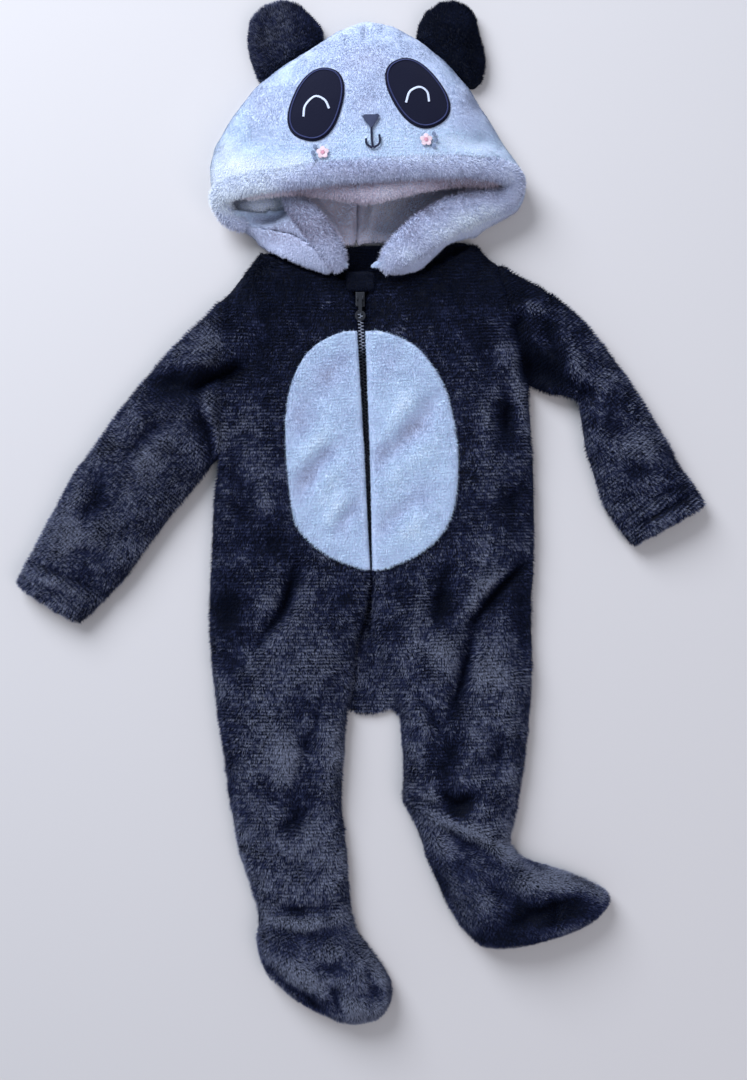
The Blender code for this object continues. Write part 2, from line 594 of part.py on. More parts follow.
def make_tummy(side, table, mirrored):
    edge_column = 1 if side == "left" else 2
    front_edge = -1.0 if side == "left" else 1.0
    grid = []
    for row in TUMMY:
        inner_row = find_row(table, row[0])
        inner_x = shell_point(table, inner_row, 1.0).x + front_edge * 0.3
        line = []
        for share in TUMMY_SHARES:
            x = row[edge_column] + (inner_x - row[edge_column]) * share
            point = on_front(table, x, row[0])
            lift = TUMMY_THICK * (0.35 if share == 0.0 else 0.85 if share == 0.05 else 1.0)
            point.z += GAP + lift
            line.append(point)
        grid.append(line)
    under = [[Vector((p.x, p.y, on_front(table, p.x, p.y).z + GAP)) for p in line] for line in grid]
    return wall_panel(f"tummy_{side}", grid, under, "white")


def on_face(x, y):
    """Height of the face panel under a place in plan, from the nearest points of a fine grid."""
    best = None
    for row_step in range(60, 131):
        row = row_step * HOOD_STEPS / 10.0
        for share_step in range(0, 41):
            point = hood_point(row, share_step / 40.0)
            distance = (point.x - x) ** 2 + (point.y - y) ** 2
            if best is None or distance < best[0]:
                best = (distance, point.z)
    return best[1]


def make_eye_patch(side, centre_x, centre_y, half_x, half_y, turn):
    """A smooth appliqué disc, its points taken from the face panel and moved out."""
    angle = math.radians(turn)
    count = 20
    points = []
    for lift in (PATCH_LIFT + PATCH_THICK, PATCH_LIFT):
        for scale in (1.0, 0.55):
            for k in range(count):
                a = 2.0 * math.pi * k / count
                u = half_x * math.cos(a) * scale
                v = half_y * math.sin(a) * scale
                x = centre_x + u * math.cos(angle) - v * math.sin(angle)
                y = centre_y + u * math.sin(angle) + v * math.cos(angle)
                points.append(Vector((x, y, on_face(x, y) + lift)))
        points.append(Vector((centre_x, centre_y, on_face(centre_x, centre_y) + lift)))
    faces = []
    layer = 2 * count + 1
    for start in (0, layer):
        for k in range(count):
            after = (k + 1) % count
            faces.append((start + k, start + after, start + count + after, start + count + k))
            faces.append((start + count + k, start + count + after, start + 2 * count))
    for k in range(count):
        after = (k + 1) % count
        faces.append((after, k, k + layer, after + layer))
    return add_object(f"eye_patch_{side}", points, faces, "patch")


def zip_x(y):
    for (y_high, x_high), (y_low, x_low) in zip(ZIP_X, ZIP_X[1:]):
        if y_low <= y <= y_high:
            return x_high + (x_low - x_high) * (y_high - y) / (y_high - y_low)
    return ZIP_X[-1][1]


def strip(name, stations, left, right, low, high, colour):
    """A flat strip along the zip; left, right, low and high are functions of the height y."""
    points = []
    for y in stations:
        points += [Vector((left(y), y, low)), Vector((right(y), y, low))]
        points += [Vector((right(y), y, high)), Vector((left(y), y, high))]
    faces = [(0, 1, 2, 3)]
    for k in range(len(stations) - 1):
        a = 4 * k
        for c in range(4):
            faces.append((a + c, a + (c + 1) % 4, a + 4 + (c + 1) % 4, a + 4 + c))
    end = 4 * (len(stations) - 1)
    faces.append((end, end + 3, end + 2, end + 1))
    return add_object(name, points, faces, colour)


def make_zip():
    under = 14.0 - GAP
    stations = [171.0, 142.0, 98.0, 42.0, 8.0, -46.0]
    seam = 0.2
    strip("zip_tape_left", stations, lambda y: zip_x(y) - TAPE_WIDTH, lambda y: zip_x(y) - seam,
          under - TAPE_THICK, under, "tape")
    strip("zip_tape_right", stations, lambda y: zip_x(y) + seam, lambda y: zip_x(y) + TAPE_WIDTH,
          under - TAPE_THICK, under, "tape")
    stations = [ZIP_TOP, 98.0, 42.0, 8.0, ZIP_END]

    def half(y):
        share = (ZIP_TOP - y) / (ZIP_TOP - ZIP_END)
        return (CHAIN_TOP_WIDTH + (CHAIN_END_WIDTH - CHAIN_TOP_WIDTH) * share) / 2.0
    strip("zip_chain", stations, lambda y: zip_x(y) - half(y), lambda y: zip_x(y) + half(y),
          under + GAP, under + GAP + CHAIN_THICK, "plastic")


def box(name, centre, size, colour, bevel=0.6):
    body = bmesh.new()
    bmesh.ops.create_cube(body, size=1.0)
    for v in body.verts:
        v.co = Vector((centre[k] + v.co[k] * size[k] for k in range(3)))
    bmesh.ops.bevel(body, geom=list(body.edges), offset=bevel, segments=2, affect="EDGES", profile=0.5)
    points = [v.co.copy() for v in body.verts]
    faces = [tuple(v.index for v in f.verts) for f in body.faces]
    body.free()
    return add_object(name, points, faces, colour)


def cutter(thing):
    """Mark a body as a tool of another body's Boolean, which the build leaves out."""
    thing.hide_render = True
    thing.display_type = "WIRE"
    return thing


def boolean(thing, other, operation):
    step = thing.modifiers.new(operation.lower(), "BOOLEAN")
    step.operation = operation
    step.object = cutter(other)


def make_slider():
    """Slider body with two lugs that carry the pull tab's pin between them."""
    x = zip_x(SLIDER_Y)
    width, length, height = SLIDER_SIZE
    middle = SLIDER_TOP - height / 2.0
    slider = box("zip_slider", (x, SLIDER_Y, middle), (width, length, height), "plastic")
    for side in (-1.0, 1.0):
        lug_x = x + side * (PULL_NECK / 2.0 + LUG_GAP + LUG_WIDTH / 2.0)
        low = SLIDER_TOP - 1.0
        high = HINGE_Z + LUG_RISE
        lug = box("zip_lug", (lug_x, HINGE_Y, (low + high) / 2.0), (LUG_WIDTH, LUG_LENGTH, high - low), "plastic", 0.3)
        boolean(slider, lug, "UNION")


def make_pull():
    """Pull tab lying towards the feet from the slider's lugs, with a round finger ring at its end."""
    x = zip_x(SLIDER_Y)
    neck = PULL_NECK / 2.0
    ring_y = HINGE_Y - PULL_LENGTH + RING_OUTER
    low = HINGE_Z - PULL_THICK / 2.0
    outer = [(x - neck, HINGE_Y + PULL_THICK / 2.0), (x - neck, ring_y + RING_NECK)]
    for k in range(RING_STEPS + 1):
        a = math.radians(RING_START + RING_SWEEP * k / RING_STEPS)
        outer.append((x + RING_OUTER * math.cos(a), ring_y + RING_OUTER * math.sin(a)))
    outer += [(x + neck, ring_y + RING_NECK), (x + neck, HINGE_Y + PULL_THICK / 2.0)]
    turns = [2.0 * math.pi * k / HOLE_SIDES for k in range(HOLE_SIDES)]
    hole = [(x + RING_INNER * math.cos(a), ring_y + RING_INNER * math.sin(a)) for a in turns]
    tab = flat_piece("pull_tab", outer, "plastic", low, low + PULL_THICK)
    boolean(tab, flat_piece("pull_hole", hole, "plastic", low - 1.0, low + PULL_THICK + 1.0), "DIFFERENCE")
    print("pull hinge", (round(x, 3), HINGE_Y, HINGE_Z))


def make_guard():
    """Small folded guard at the top of the zip, which keeps the slider off the chin."""
    left, right, low, high = GUARD
    middle = ((left + right) / 2.0, (low + high) / 2.0, GUARD_MIDDLE)
    box("zip_guard", middle, (right - left, high - low, GUARD_THICK), "black", 1.0)


def centre_on_floor():
    """Move every point so that the middle of the garment's box stands over the origin."""
    things = [t for t in bpy.data.objects if t.type == "MESH" and not t.hide_render]
    low = Vector([min(v.co[k] for t in things for v in t.data.vertices) for k in range(3)])
    high = Vector([max(v.co[k] for t in things for v in t.data.vertices) for k in range(3)])
    shift = Vector((-(low.x + high.x) / 2.0, -(low.y + high.y) / 2.0, -low.z))
    for thing in bpy.data.objects:
        for v in thing.data.vertices:
            v.co += shift
    print("shift", tuple(round(s / MM, 2) for s in shift), "size", tuple(round(s / MM, 1) for s in high - low))


clear_scene()
shell_panel("front_left", FRONT_LEFT, "black", False)
shell_panel("front_right", FRONT_RIGHT, "black", True)
make_back()
make_sleeve("left", SLEEVE_LEFT)
make_sleeve("right", SLEEVE_RIGHT)
make_foot("left", FOOT_LEFT, False)
make_foot("right", FOOT_RIGHT, True)
make_hood()
make_ear("left", EAR_LEFT)
make_ear("right", EAR_RIGHT)
make_tummy("left", FRONT_LEFT, False)
make_tummy("right", FRONT_RIGHT, True)
for patch in EYE_PATCHES:
    make_eye_patch(*patch)
make_zip()
make_slider()
make_pull()
make_guard()
centre_on_floor()
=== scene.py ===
# %% [markdown]
# # A panda onesie in coral fleece
# The garment lies flat on its back on a pale surface and is seen from straight above.
# The CAD frame gives every cut piece at its real size. This script gives each piece its cloth: a soft
# skin grown on the solid's form, the creases of worn fleece, the pile, the stitching and the zip.

# %% Load the frame
import math

import bmesh
import bpy
import numpy as np
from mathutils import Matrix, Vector
from mathutils.bvhtree import BVHTree


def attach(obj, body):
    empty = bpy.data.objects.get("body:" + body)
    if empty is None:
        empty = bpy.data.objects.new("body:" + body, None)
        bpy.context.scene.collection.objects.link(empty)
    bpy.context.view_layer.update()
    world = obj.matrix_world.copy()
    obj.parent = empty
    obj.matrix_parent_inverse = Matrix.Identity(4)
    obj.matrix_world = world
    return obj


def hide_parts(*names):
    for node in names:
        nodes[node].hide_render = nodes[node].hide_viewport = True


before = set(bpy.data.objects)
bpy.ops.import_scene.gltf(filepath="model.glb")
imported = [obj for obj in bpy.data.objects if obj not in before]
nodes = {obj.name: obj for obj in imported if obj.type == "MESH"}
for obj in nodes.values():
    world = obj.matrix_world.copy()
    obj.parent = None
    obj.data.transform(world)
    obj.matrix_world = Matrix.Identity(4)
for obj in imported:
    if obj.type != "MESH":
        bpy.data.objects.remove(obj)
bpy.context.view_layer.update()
MM = 0.001

# %% [markdown]
# ## Camera
# The garment is looked at from straight overhead, at the height of someone holding a phone over it.
# The lens is chosen from what it has to hold at the cloth's height: 821 mm from top to bottom.

# %% Camera
def add_object(name, data):
    """A new object in the scene for a mesh, a lamp or a camera."""
    made = bpy.data.objects.new(name, data)
    bpy.context.collection.objects.link(made)
    return made


CLOTH_HEIGHT = 8 * MM
CAMERA_HEIGHT = 950 * MM
VIEW_LONG = 821 * MM
SENSOR = 36.0
eye = bpy.data.cameras.new("overhead")
eye.sensor_fit = "VERTICAL"
eye.sensor_height = SENSOR
eye.lens = SENSOR * CAMERA_HEIGHT / VIEW_LONG
camera = add_object("overhead", eye)
camera.location = (9.5 * MM, -22.6 * MM, CLOTH_HEIGHT + CAMERA_HEIGHT)
bpy.context.scene.camera = camera
print("lens", round(eye.lens, 1), "mm")

# %% [markdown]
# ## Floor and light
# A plain pale floor, one large soft lamp above the hood and a weaker one on the other side.
# The big lamp gives the soft shadow that falls towards the feet and to the right.

# %% Small helpers for materials
def linear(hex_colour, alpha=1.0):
    """sRGB hex to linear colour."""
    parts = [int(hex_colour[k:k + 2], 16) / 255.0 for k in (1, 3, 5)]
    return (*[v / 12.92 if v <= 0.04045 else ((v + 0.055) / 1.055) ** 2.4 for v in parts], alpha)


def add_node(tree, kind, settings=None, inputs=None):
    """Add a node and set its properties. An input given a node or a socket is linked, any other is set."""
    node = tree.nodes.new(kind)
    for key, value in (settings or {}).items():
        setattr(node, key, value)
    for key, value in (inputs or {}).items():
        if isinstance(value, bpy.types.Node):
            value = value.outputs[0]
        if isinstance(value, bpy.types.NodeSocket):
            tree.links.new(value, node.inputs[key])
        else:
            node.inputs[key].default_value = value
    return node


def new_material(name):
    made = bpy.data.materials.new(name)
    made.use_nodes = True
    return made, made.node_tree, made.node_tree.nodes["Principled BSDF"]


# %% Floor and lamps
floor_mat, _, floor_shader = new_material("matt painted board")
floor_shader.inputs["Base Color"].default_value = linear("#d4ccc2")
floor_shader.inputs["Roughness"].default_value = 0.8
bpy.ops.mesh.primitive_plane_add(size=6.0, location=(0.0, 0.0, -0.0004))
floor = bpy.context.object
floor.name = "floor"
floor.data.materials.append(floor_mat)


def soft_lamp(name, place, target, size, watts, colour):
    lamp = bpy.data.lights.new(name, "AREA")
    lamp.shape = "DISK"
    lamp.size = size
    lamp.energy = watts
    lamp.color = linear(colour)[:3]
    thing = add_object(name, lamp)
    thing.location = place
    thing.rotation_euler = (Vector(target) - Vector(place)).to_track_quat("-Z", "Y").to_euler()


soft_lamp("window", (-1.05, 1.5, 1.35), (0.0, 0.05, 0.0), 1.5, 76.0, "#dde8ff")
soft_lamp("fill", (1.2, -1.0, 1.8), (0.0, 0.0, 0.0), 1.6, 15.0, "#f4f0ff")
world = bpy.data.worlds.new("room")
bpy.context.scene.world = world
world.use_nodes = True
world.node_tree.nodes["Background"].inputs["Color"].default_value = linear("#cfdef8")
world.node_tree.nodes["Background"].inputs["Strength"].default_value = 0.46
bpy.context.scene.view_settings.view_transform = "Standard"

# %% [markdown]
# ## Tools for cloth meshes
# Every cut piece of the frame is a closed wall of cloth. Its skin starts as an even mesh on that wall,
# softened until the corners of the pattern are gone, and swelled a little so that sewn neighbours touch.

# %% Mesh helpers
def evaluated(thing, name):
    """Turn an object with its modifiers into a plain mesh object, and remove the old one."""
    graph = bpy.context.evaluated_depsgraph_get()
    mesh = bpy.data.meshes.new_from_object(thing.evaluated_get(graph))
    mesh.name = name
    old = thing.data
    bpy.data.objects.remove(thing)
    if old.users == 0 and isinstance(old, bpy.types.Mesh):
        bpy.data.meshes.remove(old)
    return add_object(name, mesh)


def smooth_faces(mesh):
    mesh.polygons.foreach_set("use_smooth", np.ones(len(mesh.polygons), dtype=bool))


def closed_mesh(name, points, faces, unit=MM, smooth=True):
    """A closed mesh from points, in millimetres unless told otherwise, with its faces turned outwards."""
    mesh = bpy.data.meshes.new(name)
    mesh.from_pydata([tuple(float(v) * unit for v in p) for p in points], [], faces)
    body = bmesh.new()
    body.from_mesh(mesh)
    bmesh.ops.recalc_face_normals(body, faces=body.faces)
    body.to_mesh(mesh)
    body.free()
    if smooth:
        smooth_faces(mesh)
    return mesh


def tube_faces(rows, around, ends=True):
    """Faces of a tube made of rings of points, with its two ends closed."""
    faces = []
    for r in range(rows - 1):
        for c in range(around):
            a = r * around + c
            b = r * around + (c + 1) % around
            faces.append((a, b, b + around, a + around))
    if ends:
        faces.append(tuple(range(around - 1, -1, -1)))
        faces.append(tuple(range((rows - 1) * around, rows * around)))
    return faces


def places(mesh):
    """Points of a mesh in millimetres."""
    flat = np.empty(len(mesh.vertices) * 3, dtype=np.float32)
    mesh.vertices.foreach_get("co", flat)
    return flat.reshape(-1, 3).astype(float) / MM


def put_places(mesh, points):
    mesh.vertices.foreach_set("co", (points * MM).astype(np.float32).ravel())
    mesh.update()


def normals_of(mesh):
    flat = np.empty(len(mesh.vertices) * 3, dtype=np.float32)
    mesh.vertices.foreach_get("normal", flat)
    return flat.reshape(-1, 3).astype(float)


def softened_normals(mesh, rounds):
    """Vertex normals averaged with their neighbours, and never turned away from the light above."""
    normals = normals_of(mesh)
    edges = np.empty(2 * len(mesh.edges), dtype=int)
    mesh.edges.foreach_get("vertices", edges)
    first, second = edges[0::2], edges[1::2]
    for _ in range(rounds):
        total = normals.copy()
        for axis in range(3):
            total[:, axis] += np.bincount(first, normals[second, axis], len(normals))
            total[:, axis] += np.bincount(second, normals[first, axis], len(normals))
        normals = total / np.maximum(np.linalg.norm(total, axis=1, keepdims=True), 1e-9)
    normals[:, 2] = np.maximum(normals[:, 2], 0.25)
    return normals / np.linalg.norm(normals, axis=1, keepdims=True)


def set_attribute(mesh, name, values):
    """Store one number or one vector a point."""
    values = np.asarray(values, dtype=np.float32)
    kind, key = ("FLOAT", "value") if values.ndim == 1 else ("FLOAT_VECTOR", "vector")
    made = mesh.attributes.get(name) or mesh.attributes.new(name, kind, "POINT")
    made.data.foreach_set(key, values.ravel())


def inside(plan, outline):
    """Which plan points lie inside an outline."""
    found = np.zeros(len(plan), dtype=bool)
    x, y = plan[:, 0], plan[:, 1]
    for (ax, ay), (bx, by) in zip(outline, outline[1:] + outline[:1]):
        if ay == by:
            continue
        crosses = (ay > y) != (by > y)
        found ^= crosses & (x < (bx - ax) * (y - ay) / (by - ay) + ax)
    return found


def smooth_line(stations, steps):
    """A smooth curve through stations of any width, as rows of numbers."""
    rows = np.asarray(stations, dtype=float)
    padded = np.vstack([2 * rows[0] - rows[1], rows, 2 * rows[-1] - rows[-2]])
    made = []
    for k in range(1, len(padded) - 2):
        a, b, c, d = padded[k - 1:k + 3]
        for step in range(steps):
            t = step / steps
            made.append(0.5 * (2 * b + (c - a) * t + (2 * a - 5 * b + 4 * c - d) * t ** 2
                               + (3 * b - a - 3 * c + d) * t ** 3))
    made.append(rows[-1])
    return np.array(made)


# %% [markdown]
# ## Creases
# The fleece is thick and soft, so it falls in few, rounded folds, each uneven in depth and width.
# They are listed in plan. A rise below nought is a trough and above nought a ridge, and both
# walls of a piece move together, so the cloth keeps its thickness. A fold crosses a seam unbroken.

# %% Folds of the whole garment, in millimetres: name, path in plan, half width, rise
CREASES = [
    ("left armhole fold", [(-88, 111), (-100, 105), (-112, 99), (-125, 91)], 5.5, -8.5),
    ("left armhole hollow", [(-122, 94), (-140, 97), (-154, 89)], 9.0, -4.5),
    ("left side over the sleeve", [(-106, 101), (-115, 90), (-111, 75), (-106, 57), (-103, 36)], 4.5, 4.0),
    ("left sleeve under the side", [(-122, 76), (-115, 58), (-111, 42)], 6.0, -6.5),
    ("left bunch", [(-130, 111), (-115, 112), (-100, 117)], 3.6, 2.8),
    ("left upper bunch", [(-126, 121), (-108, 127)], 4.0, 1.8),
    ("left shoulder", [(-107, 150), (-104, 130)], 6.0, -1.6),
    ("left elbow", [(-146, 68), (-164, 55), (-176, 36)], 6.5, -3.6),
    ("left elbow ridge", [(-140, 58), (-156, 42), (-168, 24)], 7.0, 2.2),
    ("left forearm", [(-196, 30), (-198, 8), (-210, -14)], 6.0, -3.0),
    ("left forearm ridge", [(-208, 28), (-216, 6)], 6.0, 1.8),
    ("left wrist", [(-190, -36), (-206, -30), (-222, -34)], 5.0, -2.6),
    ("right shoulder", [(121, 153), (117, 139), (121, 124)], 5.0, -4.5),
    ("right cap", [(111, 149), (124, 154), (141, 150)], 5.0, 2.8),
    ("right pocket", [(124, 121), (127, 107), (131, 95)], 6.5, -10.0),
    ("right pocket under the sleeve", [(128, 117), (138, 105), (150, 96)], 8.0, -7.5),
    ("right upper sleeve", [(138, 148), (142, 131), (151, 113)], 5.5, -3.2),
    ("right sleeve ridge", [(150, 132), (158, 113), (164, 95)], 6.0, 2.6),
    ("right elbow", [(154, 99), (166, 90), (176, 86)], 4.6, -4.0),
    ("right forearm", [(182, 72), (194, 62), (208, 60)], 6.0, -3.0),
    ("right forearm low", [(192, 38), (206, 30), (222, 34)], 6.0, -2.6),
    ("right wrist", [(196, 12), (208, 10), (226, 22)], 5.0, -2.4),
    ("right side", [(111, 124), (119, 108), (122, 92), (125, 70), (127, 46)], 5.0, 2.8),
    ("right side dimple", [(113, 86), (109, 72), (111, 57)], 4.5, -4.8),
    ("right waist", [(122, 24), (112, 8), (114, -12)], 5.5, -3.0),
    ("right chest", [(92, 132), (96, 108), (90, 84)], 8.0, -2.6),
    ("right chest ridge", [(104, 128), (105, 104), (99, 80)], 7.0, 2.0),
    ("left chest", [(-70, 140), (-78, 118), (-74, 96)], 9.0, -2.2),
    ("left waist", [(-98, 30), (-86, 12), (-88, -10)], 7.0, -2.8),
    ("left flank ridge", [(-78, 44), (-72, 20), (-76, -6)], 7.0, 1.8),
    ("tummy left", [(-17, 50), (-32, 37), (-48, 12)], 6.5, -1.9),
    ("tummy left ridge", [(-22, 64), (-38, 48), (-54, 28)], 7.0, 1.3),
    ("tummy inner ridge", [(-14, 40), (-24, 26), (-36, 4)], 6.5, 1.2),
    ("tummy low left", [(-2, 8), (-10, -3), (-18, -14)], 5.5, -1.6),
    ("tummy low ridge", [(-8, 16), (-20, 0), (-30, -16)], 6.5, 1.2),
    ("tummy high left", [(-12, 112), (-26, 98), (-44, 70)], 8.0, -1.0),
    ("tummy right", [(12, 34), (36, 58), (58, 86)], 8.0, -1.7),
    ("tummy right ridge", [(14, 52), (28, 72), (44, 96)], 7.5, 1.3),
    ("tummy middle ridge", [(14, 20), (36, 36), (60, 60)], 8.5, 1.0),
    ("tummy low right", [(13, -17), (26, -3), (44, 12)], 6.5, -1.4),
    ("tummy low right ridge", [(22, -26), (36, -12), (52, 0)], 7.0, 1.2),
    ("left thigh", [(-49, -43), (-58, -72), (-76, -99)], 5.5, -6.5),
    ("left thigh ridge", [(-62, -50), (-72, -74), (-92, -92)], 7.0, 2.4),
    ("left thigh inner ridge", [(-38, -50), (-46, -78), (-60, -104)], 6.0, 1.6),
    ("left hip dimple", [(-98, -60), (-102, -88)], 8.0, -3.4),
    ("left outer thigh", [(-102, -108), (-86, -122)], 6.0, -2.6),
    ("left inner leg", [(-13, -104), (-19, -132), (-23, -164)], 5.0, -2.0),
    ("left knee", [(-52, -148), (-41, -182), (-46, -212)], 7.0, -2.6),
    ("left knee ridge", [(-62, -156), (-54, -186), (-60, -208)], 7.0, 1.6),
    ("left shin dimple", [(-38, -224), (-46, -232), (-60, -239)], 6.0, -5.0),
    ("left shin", [(-74, -200), (-62, -222)], 6.0, -2.4),
    ("left calf", [(-30, -252), (-44, -266), (-62, -270)], 6.0, -2.6),
    ("left ankle", [(-66, -296), (-48, -301), (-24, -297)], 4.5, -3.6),
    ("left instep", [(-64, -316), (-42, -321), (-12, -316)], 5.0, -3.0),
    ("left instep ridge", [(-66, -307), (-44, -311), (-18, -307)], 4.0, 2.0),
    ("left foot", [(-40, -336), (-22, -342), (-8, -336)], 5.5, -2.6),
    ("left toe seam", [(-34, -352), (-8, -362), (16, -362)], 4.0, -2.4),
    ("right hip", [(124, -39), (104, -58), (85, -83)], 5.0, -7.0),
    ("right thigh", [(86, -82), (81, -108), (76, -130), (67, -155)], 5.2, -6.0),
    ("right hip ridge", [(113, -38), (93, -57), (75, -78)], 5.0, 3.4),
    ("right thigh ridge", [(94, -92), (90, -116), (84, -138)], 6.0, 2.2),
    ("right groin", [(66, -47), (58, -70), (56, -94)], 5.5, -4.2),
    ("right groin ridge", [(48, -52), (44, -76), (45, -98)], 6.0, 1.8),
    ("right knee", [(42, -138), (57, -159), (67, -178)], 4.6, -3.4),
    ("right knee ridge", [(34, -132), (45, -152), (52, -172)], 4.6, 2.2),
    ("right calf", [(74, -166), (65, -196)], 5.5, -3.2),
    ("right calf outer", [(108, -170), (100, -194)], 5.5, -3.4),
    ("right outer leg", [(123, -62), (120, -116)], 6.0, -2.4),
    ("right ankle pocket", [(60, -212), (72, -222), (86, -214)], 5.5, -7.0),
    ("right ankle edge", [(35, -206), (54, -216), (68, -230), (90, -240)], 4.0, 3.2),
    ("right foot hollow", [(58, -238), (74, -250), (96, -252)], 5.0, -3.4),
    ("right foot", [(92, -282), (112, -288), (128, -300)], 6.0, -3.0),
    ("right toe seam", [(140, -282), (146, -300), (140, -318)], 4.0, -2.6),
    ("front seam", [(8, -45), (7.6, -58), (7, -70)], 2.2, -2.4),
    ("left cuff seam", [(-254, -35), (-236, -42), (-222, -48), (-204, -57), (-190, -63)], 2.2, -3.4),
    ("left cuff ridge", [(-252, -43), (-236, -50), (-220, -57), (-204, -66)], 3.6, 1.6),
    ("left cuff stitching", [(-250, -50), (-238, -56), (-220, -64), (-206, -72)], 1.6, -1.6),
    ("right cuff seam", [(254, 16), (240, 8), (222, -3), (200, -14)], 2.4, -4.0),
    ("right cuff second seam", [(246, 22), (228, 13), (208, 2), (194, -8)], 2.2, -2.6),
    ("right cuff ridge", [(250, 4), (236, -3), (218, -12)], 4.0, 1.6),
    ("left foot seam", [(-76, -338), (-60, -352), (-40, -364), (-24, -378)], 3.6, -4.2),
    ("left foot ridge", [(-66, -332), (-44, -344), (-26, -352)], 6.0, 2.2),
    ("left toe fold", [(-23, -356), (-18, -366), (-14, -376)], 3.0, -4.2),
    ("left toe ridge", [(-10, -356), (-6, -368), (-4, -376)], 6.0, 2.6),
    ("left toe side", [(4, -346), (10, -356), (13, -368)], 3.0, -3.2),
    ("left ankle trough", [(-64, -300), (-40, -308), (-12, -314)], 5.0, -1.6),
    ("right ankle fold", [(40, -215), (57, -220), (70, -230), (76, -236)], 3.2, -4.6),
    ("right ankle ridge", [(50, -228), (80, -240), (110, -258), (126, -272)], 5.0, 2.8),
    ("right ankle under", [(66, -242), (88, -254), (110, -270)], 5.0, -1.8),
    ("right heel fold", [(54, -262), (62, -282), (68, -302)], 4.0, -2.8),
    ("right sole hollow", [(104, -313), (128, -301), (154, -293), (174, -292)], 6.0, -4.4),
    ("right toe ridge", [(118, -277), (142, -275), (164, -278), (182, -288)], 5.0, 2.2),
    ("right sole edge", [(86, -326), (120, -322), (152, -311), (178, -300)], 3.6, 1.4),
    ("left long trough", [(-28, -134), (-34, -160), (-44, -184)], 4.0, -2.4),
    ("left long ridge", [(-20, -150), (-24, -190), (-28, -232)], 6.0, 1.6),
    ("left shin dent", [(-52, -200), (-48, -226)], 4.5, -1.8),
    ("left shin ridge", [(-44, -206), (-40, -234), (-38, -262)], 4.5, 1.4),
    ("left arm pit", [(-94, 107), (-112, 101), (-126, 92), (-140, 88)], 6.0, -3.4),
    ("left arm bulge", [(-120, 80), (-114, 60), (-108, 44)], 7.0, 2.4),
    ("left hip fold", [(-60, -64), (-84, -86), (-96, -106)], 6.0, -2.0),
    ("left hip ridge", [(-44, -76), (-66, -96), (-84, -122)], 7.0, 1.8),
    ("left waist", [(-104, -20), (-80, -26), (-56, -22)], 6.0, -1.6),
    ("right waist", [(118, 10), (98, 4), (76, 8)], 6.0, -1.6),
    ("right flank", [(108, 110), (104, 80), (108, 50)], 6.0, -1.8),
    ("right flank ridge", [(96, 104), (93, 76), (97, 46)], 6.0, 1.6),
    ("right hip ridge", [(40, -70), (58, -90), (64, -120)], 7.0, 1.8),
    ("right hip line", [(30, -60), (46, -84), (50, -112)], 4.0, -2.0),
]
CREASE_DEPTH = 1.35
# Seams between black pieces, in plan, where their cloth bulges up to the stitches on both sides.
SEAMS = [((-105.5, 158.0), (-107.0, 44.0)), ((104.5, 185.0), (127.5, 98.0)),
         ((-76.5, -308.0), (-8.5, -306.0)), ((112.0, -256.0), (33.0, -218.5))]
SEAM_BULGE = 1.8
SEAM_REACH = 6.0
# Patches of painted light (paler, above nought) and painted shade (darker), where the nap catches the
# light or turns from it and where shadow falls: x, y, half sizes, tone.
PAINTED_LIGHT_AND_SHADE = [
    (-100, -78, 14, 22, -0.22), (-66, -70, 10, 16, 0.06), (-28, -112, 18, 16, 0.14), (-70, -124, 22, 14, 0.1),
    (-62, -184, 20, 24, 0.2), (-18, -180, 7, 40, 0.12), (-44, -214, 18, 14, -0.1), (-96, -200, 8, 22, -0.14),
    (-36, -262, 24, 12, 0.12), (-30, -60, 16, 16, 0.08), (-12, -66, 8, 10, -0.16), (64, -104, 17, 14, 0.27),
    (100, -118, 13, 22, 0.23), (92, -52, 12, 12, 0.18), (62, -72, 9, 18, -0.22), (118, -66, 8, 18, -0.16),
    (44, -86, 14, 24, 0.08), (60, -186, 12, 14, -0.18), (76, -212, 14, 8, -0.2), (112, -150, 8, 30, 0.1),
    (-84, 56, 14, 26, 0.12), (-86, 8, 14, 16, 0.06), (-66, -22, 14, 12, -0.14), (116, 96, 8, 30, 0.2),
    (96, 30, 14, 20, 0.18), (88, 96, 12, 26, 0.1), (112, 70, 7, 16, -0.2), (100, -14, 16, 18, 0.1),
    (-136, 94, 16, 10, -0.3), (-116, 132, 16, 12, 0.16), (-150, 96, 12, 10, -0.14), (-168, 44, 18, 18, 0.14),
    (-216, -20, 22, 16, 0.2), (-206, -46, 20, 8, -0.14), (-196, 8, 14, 12, -0.12), (-112, 60, 6, 30, -0.14),
    (136, 108, 11, 12, -0.4), (134, 150, 16, 8, 0.16), (158, 122, 16, 14, -0.08), (208, 52, 16, 14, 0.14),
    (188, 76, 12, 12, -0.14), (226, 26, 12, 10, -0.08), (210, 10, 14, 12, 0.12), (232, -6, 16, 6, -0.14),
    (-52, -330, 20, 8, -0.12), (-46, -352, 22, 6, 0.12), (-10, -366, 9, 7, 0.14), (10, -348, 12, 9, 0.1),
    (6, -376, 14, 8, 0.14), (-26, -336, 12, 8, 0.14), (-34, -367, 14, 6, -0.2), (-24, -343, 14, 5, -0.2),
    (-40, -308, 26, 5, 0.12), (98, -250, 26, 9, 0.16),
    (146, -278, 28, 5, 0.24), (178, -286, 8, 8, 0.16), (94, -292, 12, 10, 0.12), (74, -227, 9, 7, -0.34),
    (140, -301, 36, 8, -0.44), (112, -320, 36, 7, -0.32), (74, -266, 12, 10, -0.14), (60, -240, 12, 10, 0.14),
]
